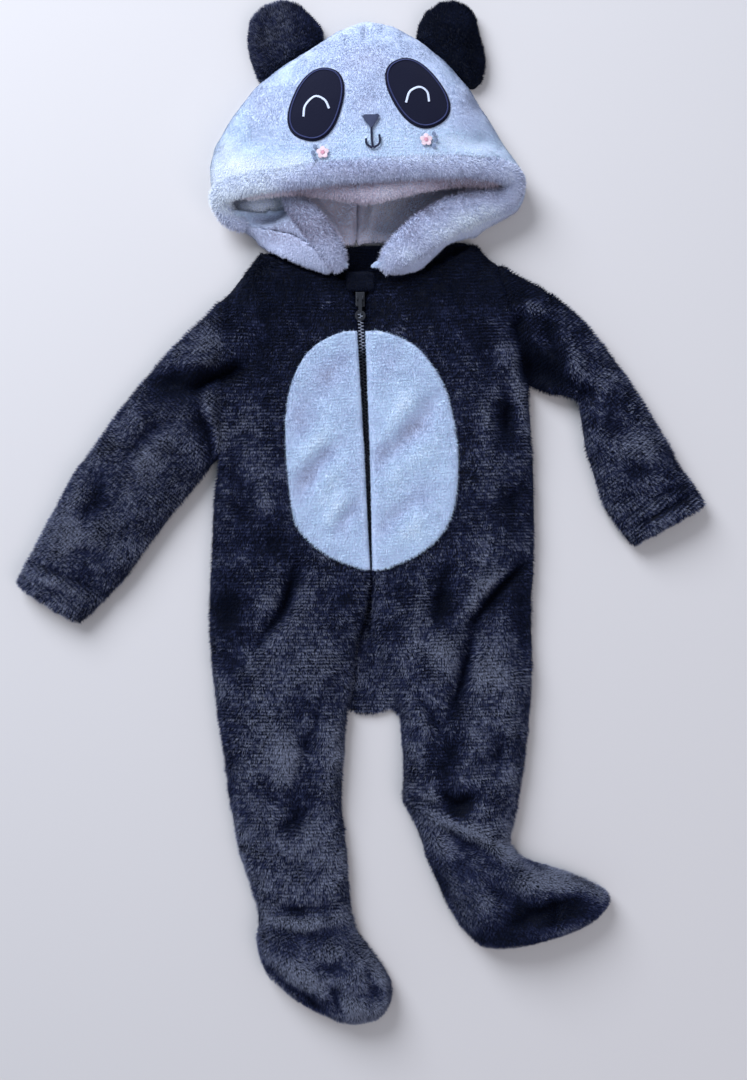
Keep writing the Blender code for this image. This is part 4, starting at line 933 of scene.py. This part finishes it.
# %% Folds of the hood
FACE_CREASES = [
    ("crown dart", [(3, 374), (3.4, 362), (3.6, 350)], 2.4, -2.6),
    ("left temple", [(-100, 262), (-84, 272), (-66, 274)], 7.0, -2.2),
    ("left brow", [(-88, 296), (-74, 306)], 7.0, -1.6),
    ("right temple", [(110, 266), (92, 274), (76, 272)], 7.0, -2.6),
    ("right cheek ridge", [(112, 254), (94, 262), (74, 262)], 6.0, 1.6),
    ("right brow", [(96, 298), (80, 312)], 7.0, -1.8),
    ("bridge", [(6, 330), (5, 310)], 9.0, 1.4),
    ("left pouch", [(-84, 220), (-68, 221), (-54, 227)], 6.5, -9.0),
]
LINING_CREASES = [
    ("left lining roll", [(-54, 241), (-36, 225), (-20, 208)], 8.0, 9.0),
    ("left lining line", [(-38, 243), (-22, 226), (-7, 206)], 3.0, -2.0),
    ("right lining roll", [(80, 241), (56, 228), (36, 210)], 8.0, 8.0),
    ("right lining line", [(58, 242), (42, 226), (26, 208)], 3.0, -2.0),
    ("upper lining fold", [(-30, 262), (6, 252), (48, 262)], 8.0, 5.0),
    ("middle fold", [(12, 240), (8, 222), (6, 208)], 4.0, 2.4),
    ("seam inside", [(-4, 236), (-4.5, 206)], 1.8, -2.0),
    ("left corner", [(-96, 230), (-80, 233), (-62, 237)], 9.0, 8.0),
]
# Eye patches: centre x, y; half width; half height; turn in degrees.
PATCHES = {"left": (-32.3, 298.5, 18.9, 29.6, -18.0), "right": (41.5, 307.0, 19.6, 29.6, 32.0)}


def patch_outline(side, grow=0.0, count=96):
    """Outline of an eye patch: an oval drawn out a little towards its corners."""
    x, y, half_x, half_y, turn = PATCHES[side]
    angle = math.radians(turn)
    made = []
    for k in range(count):
        a = 2.0 * math.pi * k / count
        fuller = (abs(math.cos(a)) ** 2.4 + abs(math.sin(a)) ** 2.4) ** (-1.0 / 2.4)
        taper = 1.0 - 0.07 * math.sin(a)
        u = (half_x + grow) * math.cos(a) * fuller * taper
        v = (half_y + grow) * math.sin(a) * fuller
        made.append((x + u * math.cos(angle) - v * math.sin(angle),
                     y + u * math.sin(angle) + v * math.cos(angle)))
    return made


# %% [markdown]
# The panels use the same skin and pile as the body. Where a back half shows inside the opening it gets a
# second pile with painted warm light, and the rolls of the opening cover the line where the two meet.

# %% Hood panels
COMBED = {**WHITE, "Length": 1.4 * MM, "Width": 0.7 * MM, "Lean": 1.4, "Unruly": 0.28, "Swirl": 0.8,
          "Depth": 0.1, "Even": 0.95}
# Node, way of the nap, folds, and the height where folds begin to act.
HOOD_PIECES = [
    ("hood_face", (0.0, -1.0, 0.0), FACE_CREASES, 3.0),
    ("hood_back_left", (0.3, -1.0, 0.0), LINING_CREASES, -8.0),
    ("hood_back_right", (-0.3, -1.0, 0.0), LINING_CREASES, -8.0),
]
for number, (node, nap, creases, low) in enumerate(HOOD_PIECES):
    shell = skin(node, swell=1.0, creases=creases, low=low)
    points = places(shell.data)
    normals = normals_of(shell.data)
    pile = np.clip(normals[:, 2] * 1.5 + 0.6, 0.0, 1.0)
    tall = np.ones(len(points))
    below = (normals[:, 2] < -0.4) & (points[:, 2] < 4.0)
    pile[below] = 0.1
    tall[below] = 0.4
    # Painted shade in the troughs of folds, painted light on their ridges, and the painted patches.
    shade = 0.04 * crease_rise(points[:, :2], creases) + painted_light_and_shade(points, PAINTED_LIGHT_AND_SHADE_WHITE)
    lining = np.zeros(len(points), dtype=bool)
    if node == "hood_face":
        # Painted shade: the face is darker towards its crown.
        shade -= np.interp(points[:, 1], [270.0, 300.0], [0.02, 0.1])
        for side in PATCHES:
            under_patch = inside(points[:, :2], patch_outline(side, -1.2))
            pile[under_patch & (normals[:, 2] > 0.0)] = 0.0
        pile[(normals[:, 2] < -0.3) & (points[:, 2] > 14.0)] = 0.1
    else:
        left_roll_x = np.interp(points[:, 1], [196, 212, 226, 238, 262], [-24, -35, -46, -54, -84])
        right_roll_x = np.interp(points[:, 1], [195, 212, 226, 233], [33, 56, 84, 109])
        lining = (points[:, 0] > left_roll_x) & (points[:, 0] < right_roll_x) & (points[:, 1] > 198.0)
        lining &= (points[:, 2] < 30.0) & (normals[:, 2] > 0.2)
        pile[lining & (points[:, 1] > 268.0)] *= 0.3
    # The back halves' outer pile is the copy with the painted warm light of the turned edges.
    combed = COMBED if node == "hood_face" else {**COMBED, "Finish": edge_pile_warm_light}
    outer = np.where(lining, 0.0, pile)
    grown = [clothe(shell, node, "white_fleece", nap, combed, 41 + number, outer, tall, shade)]
    if lining.any():
        # Inside the hood: the copy with painted warm light, and painted light that lifts its tone by 0.15.
        inside_hood = {**COMBED, "Finish": inner_pile_warm_light}
        grown.append(grow_pile(shell, nap, inside_hood, 44 + number, np.where(lining, pile, 0.0), tall,
                               shade + 0.15, "lining_pile_"))
        sew_on(grown[-1])
    skins[node] = (shell, *grown)

# %% [markdown]
# The opening is hemmed with a wide turned band. Turned twice in thick fleece it makes a fluffy roll
# all round, down both sides to the zip, and its inner side hangs below the brow in a soft lip.

# %% Rolls
def roll(name, stations, steps=7, around=20):
    """A soft closed tube. Station: centre; direction of the half width; half width; half thickness."""
    rows = smooth_line(stations, steps)
    centres = rows[:, 0:3]
    points = []
    for k, row in enumerate(rows):
        run = centres[min(k + 1, len(rows) - 1)] - centres[max(k - 1, 0)]
        wide = row[3:6] - run * (row[3:6] @ run) / (run @ run)
        wide /= np.linalg.norm(wide)
        thick = np.cross(wide, run / np.linalg.norm(run))
        uneven = 1.0 + 0.05 * math.sin(k * 0.37) + 0.04 * math.sin(k * 0.83 + 1.0)
        ends = min(1.0, 0.7 + 0.1 * min(k, len(rows) - 1 - k))
        for c in range(around):
            a = 2.0 * math.pi * c / around
            points.append(centres[k] + wide * row[6] * ends * math.cos(a)
                          + thick * row[7] * ends * uneven * math.sin(a))
    return add_object(name, closed_mesh(name, points, tube_faces(len(rows), around)))


# Centre x, y, z; outward direction x, y, z; half width; half thickness.
HEM = [
    (16.0, 180.5, 24.0, 0.6, -0.8, -0.1, 7.5, 4.0),
    (33.0, 195.0, 28.5, 0.62, -0.78, 0.0, 12.0, 5.2),
    (56.0, 212.5, 27.5, 0.6, -0.8, -0.1, 13.5, 6.0),
    (84.0, 226.5, 23.0, 0.45, -0.88, -0.2, 12.0, 6.0),
    (109.0, 233.0, 20.0, 0.9, -0.4, -0.3, 8.5, 5.2),
    (113.0, 248.0, 26.0, 0.95, 0.25, -0.3, 7.5, 5.0),
    (87.0, 253.0, 35.5, 0.42, 0.9, -0.15, 8.0, 5.2),
    (54.0, 251.5, 41.5, 0.2, 0.97, -0.05, 8.0, 5.4),
    (29.0, 250.0, 43.5, 0.1, 1.0, -0.03, 8.0, 5.4),
    (3.5, 248.0, 43.8, 0.0, 1.0, -0.03, 8.0, 5.4),
    (-22.0, 246.5, 42.8, -0.1, 1.0, -0.03, 8.0, 5.4),
    (-47.0, 244.0, 40.8, -0.25, 0.97, -0.05, 8.0, 5.4),
    (-82.0, 241.0, 34.5, -0.45, 0.88, -0.12, 8.0, 5.2),
    (-104.0, 235.5, 25.5, -0.9, 0.35, -0.3, 7.5, 5.0),
    (-101.0, 222.5, 17.5, -0.75, -0.6, -0.3, 6.5, 4.8),
    (-88.0, 214.5, 13.0, -0.5, -0.85, -0.2, 6.0, 4.5),
]
LEFT_ROLL = [
    (-15.0, 180.5, 24.0, -0.7, -0.7, 0.0, 7.0, 4.2),
    (-24.0, 196.0, 29.0, -0.85, -0.5, 0.0, 9.5, 5.6),
    (-35.0, 212.0, 29.0, -0.8, -0.6, 0.0, 9.5, 6.0),
    (-46.0, 226.0, 26.0, -0.8, -0.6, 0.0, 8.5, 5.5),
    (-54.0, 238.0, 22.0, -0.8, -0.5, 0.0, 7.0, 4.5),
]
# Lip under the brow: centre x, y, z; half width; half thickness.
LIP = [
    (-88.0, 235.5, 24.0, 4.0, 2.8), (-66.0, 238.0, 30.0, 4.5, 3.0), (-42.0, 239.0, 33.0, 5.5, 4.0),
    (-19.0, 236.5, 34.0, 6.0, 4.6), (5.0, 235.0, 35.0, 8.0, 5.0), (29.0, 238.5, 35.0, 6.5, 4.6),
    (53.0, 242.5, 34.0, 5.0, 4.0), (78.0, 246.0, 30.5, 5.0, 3.4), (103.0, 246.0, 25.0, 5.0, 3.6),
]
lip_stations = [(x, y, z, 0.0, 1.0, 0.25, wide, thick) for x, y, z, wide, thick in LIP]
hem = roll("shell_hood_hem", HEM)
left_roll = roll("shell_hood_left_roll", LEFT_ROLL)
lip = roll("shell_hood_lip", lip_stations)
FLUFFY = {**WHITE, "Length": 3.0 * MM, "Lean": 0.6, "Unruly": 0.8, "Depth": 0.1, "Mottle": 0.3}
# Roll, its painted shade (painted light where above nought), way of the nap, finish.
ROLLS = [(hem, 0.04, (0.0, -1.0, 0.3), edge_pile_warm_light), (left_roll, -0.1, (0.3, -1.0, 0.0), edge_pile_warm_light),
         (lip, -0.08, (0.0, -1.0, -0.3), inner_pile_warm_light)]
for number, (shell, roll_painted_shade, nap, finish) in enumerate(ROLLS):
    pile = np.clip(normals_of(shell.data)[:, 2] + 0.8, 0.1, 1.0)
    shade = roll_painted_shade + painted_light_and_shade(places(shell.data), PAINTED_LIGHT_AND_SHADE_WHITE)
    clothe(shell, None, "white_fleece", nap, {**FLUFFY, "Finish": finish}, 51 + number, pile, None, shade)

# %% [markdown]
# ## Ears
# Two layers of black fleece sewn round a lobe and turned out, so each ear is plump with its own cloth.

# %% Ears
EAR_PILE = {**BLACK, "Length": 2.4 * MM, "Depth": 0.15, "Mottle": 0.5}
# Side, way of the nap, painted light and shade: the left ear lies towards the light and the right one
# away from it.
EARS = [("left", (-0.5, 1.0, 0.0), 0.22), ("right", (0.5, 1.0, 0.0), -0.3)]
for number, (side, nap, tint) in enumerate(EARS):
    for layer in ("front", "back"):
        node = f"ear_{layer}_{side}"
        shell = skin(node, voxel=1.6, swell=0.8, creases=[], keep=0.5)
        points = places(shell.data)
        normals = normals_of(shell.data)
        pile = np.clip(normals[:, 2] * 1.4 + 0.7, 0.05, 1.0)
        if layer == "back":
            pile *= np.where(points[:, 2] < 2.5, 1.0, 0.2)
        inner = points[:, 0] * (1.0 if side == "left" else -1.0)
        # tint is the ear's painted light (left) and painted shade (right); painted shade also darkens it
        # towards the hood.
        shade = tint - 0.012 * np.clip(inner - inner.min() - 28.0, 0.0, 30.0)
        grown = clothe(shell, node, "black_fleece", nap, EAR_PILE, 61 + number, pile, None, shade)
        skins[node] = (shell, grown)

# %% [markdown]
# ## Face
# The eye patches are smooth dark cloth laid on the fleece and fixed with a close satin-stitched edge.
# The smiles, nose, mouth and cheek flowers are embroidery: short threads laid side by side.
# A second tree sets a part on each of a row of points that carry their own direction and size.

# %% Rows of small parts
def make_row_tree():
    tree, given, result = new_tree("rows of parts", [("Part", "Object"), ("Finish", "Material")])
    read = {}
    for name in ("along", "up", "size"):
        read[name] = add_node(tree, "GeometryNodeInputNamedAttribute", {"data_type": "FLOAT_VECTOR"},
                              {"Name": name})
    aimed = add_node(tree, "FunctionNodeAlignRotationToVector", {"axis": "X"}, {"Vector": read["along"]})
    faced = add_node(tree, "FunctionNodeAlignRotationToVector", {"axis": "Z", "pivot_axis": "X"},
                     {"Rotation": aimed, "Vector": read["up"]})
    part_in = add_node(tree, "GeometryNodeObjectInfo", None, {"Object": given["Part"]})
    parts = add_node(tree, "GeometryNodeInstanceOnPoints", None,
                     {"Points": given["Geometry"], "Instance": part_in.outputs["Geometry"],
                      "Rotation": faced, "Scale": read["size"]})
    real = add_node(tree, "GeometryNodeRealizeInstances", None, {"Geometry": parts})
    dyed = add_node(tree, "GeometryNodeSetMaterial", None, {"Geometry": real, "Material": given["Finish"]})
    tree.links.new(dyed.outputs[0], result)
    return tree


row_tree = make_row_tree()


def part_mesh(name, profile, sides=6):
    """A small turned part along X from (x, radius) pairs, one unit long; its ends are closed."""
    points = [(x, r * math.cos(2 * math.pi * c / sides), r * math.sin(2 * math.pi * c / sides))
              for x, r in profile for c in range(sides)]
    mesh = closed_mesh(name, points, tube_faces(len(profile), sides), unit=1.0)
    return bpy.data.objects.new(name, mesh)


THREAD = [(-0.5, 0.12), (-0.44, 0.36), (-0.25, 0.5), (0.25, 0.5), (0.44, 0.36), (0.5, 0.12)]
thread = part_mesh("thread", THREAD)


def set_out(name, part, centres, along, size, finish, node=None):
    """Place a part at each centre (millimetres), one size or a size each, as one plain mesh."""
    count = len(centres)
    mesh = bpy.data.meshes.new("points")
    mesh.from_pydata([tuple(float(v) * MM for v in c) for c in centres], [], [])
    set_attribute(mesh, "along", along)
    set_attribute(mesh, "up", np.tile([0.0, 0.0, 1.0], (count, 1)))
    set_attribute(mesh, "size", np.broadcast_to(np.array(size, dtype=float), (count, 3)) * MM)
    made = run_tree(add_object("work", mesh), row_tree, name, {"Part": part, "Finish": finish})
    sew_on(made, node)
    return made


def plain_finish(name, colour, roughness, sheen=0.0, size=0.0, depth=0.0):
    """One colour with a typical roughness, and a fine bump where the real surface has one."""
    made, tree, shader = new_material(name)
    shader.inputs["Base Color"].default_value = linear(colour)
    shader.inputs["Roughness"].default_value = roughness
    shader.inputs["Specular IOR Level"].default_value = 0.2
    shader.inputs["Sheen Weight"].default_value = sheen
    if size:
        where = add_node(tree, "ShaderNodeTexCoord")
        grainy = add_node(tree, "ShaderNodeTexNoise", None,
                          {"Vector": where.outputs["Object"], "Scale": 1.0 / (size * MM), "Detail": 2.0})
        bump = add_node(tree, "ShaderNodeBump", None,
                        {"Height": grainy, "Strength": 0.6, "Distance": depth * MM})
        tree.links.new(bump.outputs[0], shader.inputs["Normal"])
    return made


# Twill is flat and dull beside the fleece, so the patches read as dark holes in it. Rayon thread is
# smoother, so its rows catch a little light, and each colour of embroidery is a thread of its own.
patch_cloth = plain_finish("dark navy polyester twill", "#090a20", 0.85, 0.05, 1.2, 0.4)
dark_thread = plain_finish("navy rayon thread", "#1d2038", 0.5, 0.1)
edge_thread = plain_finish("slate blue rayon thread", "#3a4069", 0.5, 0.1)
pale_thread = plain_finish("off-white rayon thread", "#dfe3ee", 0.5)
grey_thread = plain_finish("slate grey rayon thread", "#4a4f66", 0.5)
pink_thread = plain_finish("pale pink rayon thread", "#f7dcda", 0.5)
rose_thread = plain_finish("rose rayon thread", "#e9a9b4", 0.5)
leaf_thread = plain_finish("grey blue rayon thread", "#8792a8", 0.5)

# %% [markdown]
# A patch is an oval of rings that climbs from its turned edge to a low crown over the face. Satin stitch
# lays one thread beside the other across its edge; the smiles are made by the same function.

# %% Eye patches
face_surface = bvh_of(skins["hood_face"][0])


def on_face(x, y, lift=0.0):
    return np.array([x, y, height_on(face_surface, x, y, 40.0) + lift])


def eye_patch(side):
    """A smooth patch laid on the face, crowned a little, with a turned edge that reaches the fleece."""
    outline = np.array(patch_outline(side, count=72))
    middle = outline.mean(axis=0)
    points = []
    # From the turned edge to the middle: share of the outline, height over the face.
    shares = [(0.995, -0.6), (1.0, 0.9), (0.985, 1.5), (0.95, 1.75), (0.85, 1.9), (0.7, 2.0), (0.5, 2.1),
              (0.25, 2.15)]
    for share, lift in shares:
        points += [on_face(*(middle + (p - middle) * share), lift) for p in outline]
    count = len(outline)
    faces = tube_faces(len(shares), count, ends=False)
    last = (len(shares) - 1) * count
    top = len(points)
    bottom = top + 1
    points += [on_face(*middle, 2.15), on_face(*middle, -0.6)]
    faces += [(last + c, last + (c + 1) % count, top) for c in range(count)]
    faces += [((c + 1) % count, c, bottom) for c in range(count)]
    name = "eye_patch_" + side + "_cloth"
    made = add_object(name, closed_mesh(name, points, faces))
    made.data.materials.append(patch_cloth)
    sew_on(made, "eye_patch_" + side)
    return made


def satin(name, path, width, pitch, lift, finish, closed=False, thick=0.55):
    """Satin stitch along a path in plan: threads side by side across it, drawn over the fleece."""
    path = np.array(path, dtype=float)
    if closed:
        path = np.vstack([path, path[:1]])
    step = np.linalg.norm(np.diff(path, axis=0), axis=1)
    whole = np.concatenate([[0.0], np.cumsum(step)])
    marks = np.arange(0.0, whole[-1], pitch)
    here, ahead, behind = [np.transpose([np.interp(marks + shift, whole, path[:, axis]) for axis in (0, 1)])
                           for shift in (0.0, 0.4, -0.4)]
    run = (ahead - behind) / np.linalg.norm(ahead - behind, axis=1, keepdims=True)
    centres = []
    along = []
    for place, (run_x, run_y) in zip(here, run):
        half = np.array([-run_y, run_x]) * width / 2.0
        start, end = on_face(*(place - half)), on_face(*(place + half))
        middle = (start + end) / 2.0
        middle[2] = max(on_face(*place)[2], middle[2]) + lift
        centres.append(middle)
        along.append(end - start)
    return set_out(name, thread, centres, along, [width, thick, thick], finish)


SMILES = {"left": [(-41.8, 287.9), (-40.6, 296.5), (-33.6, 303.4), (-26.4, 300.2), (-23.0, 293.4)],
          "right": [(33.4, 297.6), (36.2, 306.2), (43.4, 310.4), (49.0, 306.8), (50.3, 299.0)]}
for side in ("left", "right"):
    cloth = eye_patch(side)
    rim = patch_outline(side, -2.0)
    edge = satin("eye_patch_" + side + "_edge", rim, 1.0, 0.5, 2.3, edge_thread, closed=True)
    smile = satin("smile_" + side, smooth_line(SMILES[side], 8), 1.7, 0.42, 2.5, pale_thread)
    skins["eye_patch_" + side] = (cloth, edge, smile)


# %% [markdown]
# The nose, petals and leaves are filled shapes: threads from side to side, one above another, each as
# long as the outline is wide there. The mouth is satin stitch along three short curves.

# %% Nose, mouth and cheeks
def filled(name, outline, finish, pitch=0.42, lift=2.0, slant=0.0):
    """Satin fill of an outline: threads from side to side, one above another."""
    turn = np.array([[math.cos(slant), -math.sin(slant)], [math.sin(slant), math.cos(slant)]])
    level = np.array(outline) @ turn
    centres = []
    along = []
    sizes = []
    for y in np.arange(level[:, 1].min() + 0.2, level[:, 1].max(), pitch):
        crossings = []
        for (ax, ay), (bx, by) in zip(level, np.roll(level, -1, axis=0)):
            if (ay > y) != (by > y):
                crossings.append(ax + (bx - ax) * (y - ay) / (by - ay))
        if len(crossings) < 2:
            continue
        low, high = min(crossings), max(crossings)
        start, end = turn @ np.array([low, y]), turn @ np.array([high, y])
        centres.append(on_face(*((start + end) / 2.0), lift))
        along.append(on_face(*end) - on_face(*start))
        sizes.append([high - low + 0.4, 0.55, 0.7])
    return set_out(name, thread, centres, along, sizes, finish)


NOSE = [(1.2, 286.6), (2.6, 288.2), (7.8, 287.6), (12.6, 288.8), (14.2, 287.2), (12.0, 283.4), (8.6, 278.6),
        (7.4, 278.8), (3.8, 282.6)]
MOUTH = {"stem": [(8.0, 279.0), (8.2, 271.0), (8.9, 263.4)],
         "left": [(4.1, 270.0), (4.6, 266.0), (8.6, 263.2)],
         "right": [(13.8, 273.0), (13.9, 266.6), (9.4, 263.2)]}
filled("nose", NOSE, grey_thread)
for title, path in MOUTH.items():
    satin("mouth_" + title, smooth_line(path, 6), 1.7, 0.42, 2.0, dark_thread)


def out_from(x, y, reach, angle):
    """The place at some reach and angle from another one."""
    return x + reach * math.cos(angle), y + reach * math.sin(angle)


def ring_of(x, y, radius, count=14):
    return [out_from(x, y, radius, 2 * math.pi * k / count) for k in range(count)]


# Side, centre x and y, way its leaves point in degrees.
FLOWERS = [("left", -27.6, 260.4, 180.0), ("right", 48.0, 269.8, 0.0)]
for side, x, y, towards in FLOWERS:
    for petal in range(5):
        a = math.radians(72 * petal + 20)
        filled(f"petal_{side}_{petal}", ring_of(*out_from(x, y, 2.9, a), 1.75), pink_thread, 0.45, 2.0, a)
    filled(f"flower_eye_{side}", ring_of(x, y, 1.3), rose_thread, 0.45, 2.4)
    for leaf, turn in enumerate((-38.0, 0.0, 38.0)):
        a = math.radians(towards + turn)
        filled(f"leaf_{side}_{leaf}", ring_of(*out_from(x, y, 7.2, a), 1.5), leaf_thread, 0.45, 2.0, a)

# %% [markdown]
# ## Zip
# A moulded plastic zip on woven tapes. The fleece closes over it towards its lower end, so the teeth
# only catch the light near the slider, and there that glint is painted into their colour. A tooth is a
# small block with a rounded head.

# %% Tapes and teeth
# Woven tape is matt and nearly hidden; the slider's enamel is smooth, so it shows one soft highlight.
tape_cloth = plain_finish("black woven polyester tape", "#0d0e13", 0.8, 0.1, 0.5, 0.2)
slider_enamel = plain_finish("dark enamelled zinc", "#0d0e14", 0.42)
slider_enamel.node_tree.nodes["Principled BSDF"].inputs["Specular IOR Level"].default_value = 0.5
# The teeth are dark; the topmost ones, near the slider, are painted paler for the glint they catch there.
tooth_plastic, tree, shader = new_material("moulded dark acetal teeth")
where = add_node(tree, "ShaderNodeTexCoord")
split = add_node(tree, "ShaderNodeSeparateXYZ", None, {0: where.outputs["Object"]})
painted_glint = add_node(tree, "ShaderNodeMapRange", None,
                {"Value": split.outputs["Y"], "From Min": 117.0 * MM, "From Max": 127.0 * MM})
mix = add_node(tree, "ShaderNodeMix", {"data_type": "RGBA"},
               {0: painted_glint, 6: linear("#23262f"), 7: linear("#a9adb8")})
tree.links.new(mix.outputs[2], shader.inputs["Base Color"])
shader.inputs["Roughness"].default_value = 0.28
TAPE_TOP = 13.6
TAPE_THICK = 0.7
for side, sign in (("left", -1.0), ("right", 1.0)):
    ys = np.linspace(171.5, -45.5, 63)
    points = []
    for y in ys:
        near, far = zip_x(y) + sign * 0.3, zip_x(y) + sign * 11.0
        low = TAPE_TOP - TAPE_THICK
        points += [(near, y, low), (far, y, low), (far, y, TAPE_TOP), (near, y, TAPE_TOP)]
    name = "zip_tape_" + side + "_woven"
    tape = add_object(name, closed_mesh(name, points, tube_faces(len(ys), 4), smooth=False))
    tape.data.materials.append(tape_cloth)
    sew_on(tape, "zip_tape_" + side)
    skins["zip_tape_" + side] = (tape,)

tooth = part_mesh("tooth", [(-0.5, 0.42), (-0.42, 0.5), (0.2, 0.5), (0.42, 0.4), (0.5, 0.2)], 8)
TOOTH_PITCH = 1.25
centres = []
along = []
for k, y in enumerate(np.arange(150.0, -43.0, -TOOTH_PITCH)):
    sign = -1.0 if k % 2 == 0 else 1.0
    centres.append((zip_x(y) + sign * 0.9, y, 15.0))
    along.append((-sign, 0.0, 0.0))
set_out("zip_teeth", tooth, centres, along, [2.6, 1.1, 2.2], tooth_plastic, "zip_chain")
for node in ("zip_slider", "pull_tab"):
    nodes[node].data.materials.clear()
    nodes[node].data.materials.append(slider_enamel)
print("zip teeth", len(centres))

# %% [markdown]
# The guard is a folded scrap of the same black fleece, so the slider never touches a chin.

# %% Guard
guard = skin("zip_guard", voxel=0.8, rounds=8, swell=0.5, creases=[], keep=0.5)
GUARD_PILE = {**BLACK, "Length": 1.6 * MM, "Depth": 0.1}
up = normals_of(guard.data)[:, 2]
# Its pile is toned 0.3 darker: the same painted shade as the neck around it.
fuzz = clothe(guard, "zip_guard", "black_fleece", (0.0, -1.0, 0.0), GUARD_PILE, 71,
              np.clip(up + 0.6, 0.0, 1.0), None, np.full(len(up), -0.3))
skins["zip_guard"] = (guard, fuzz)

# %% [markdown]
# ## Triangles
# The number of triangles in all the finished pieces.

# %% Triangles
print("triangles", sum(counts.values()))
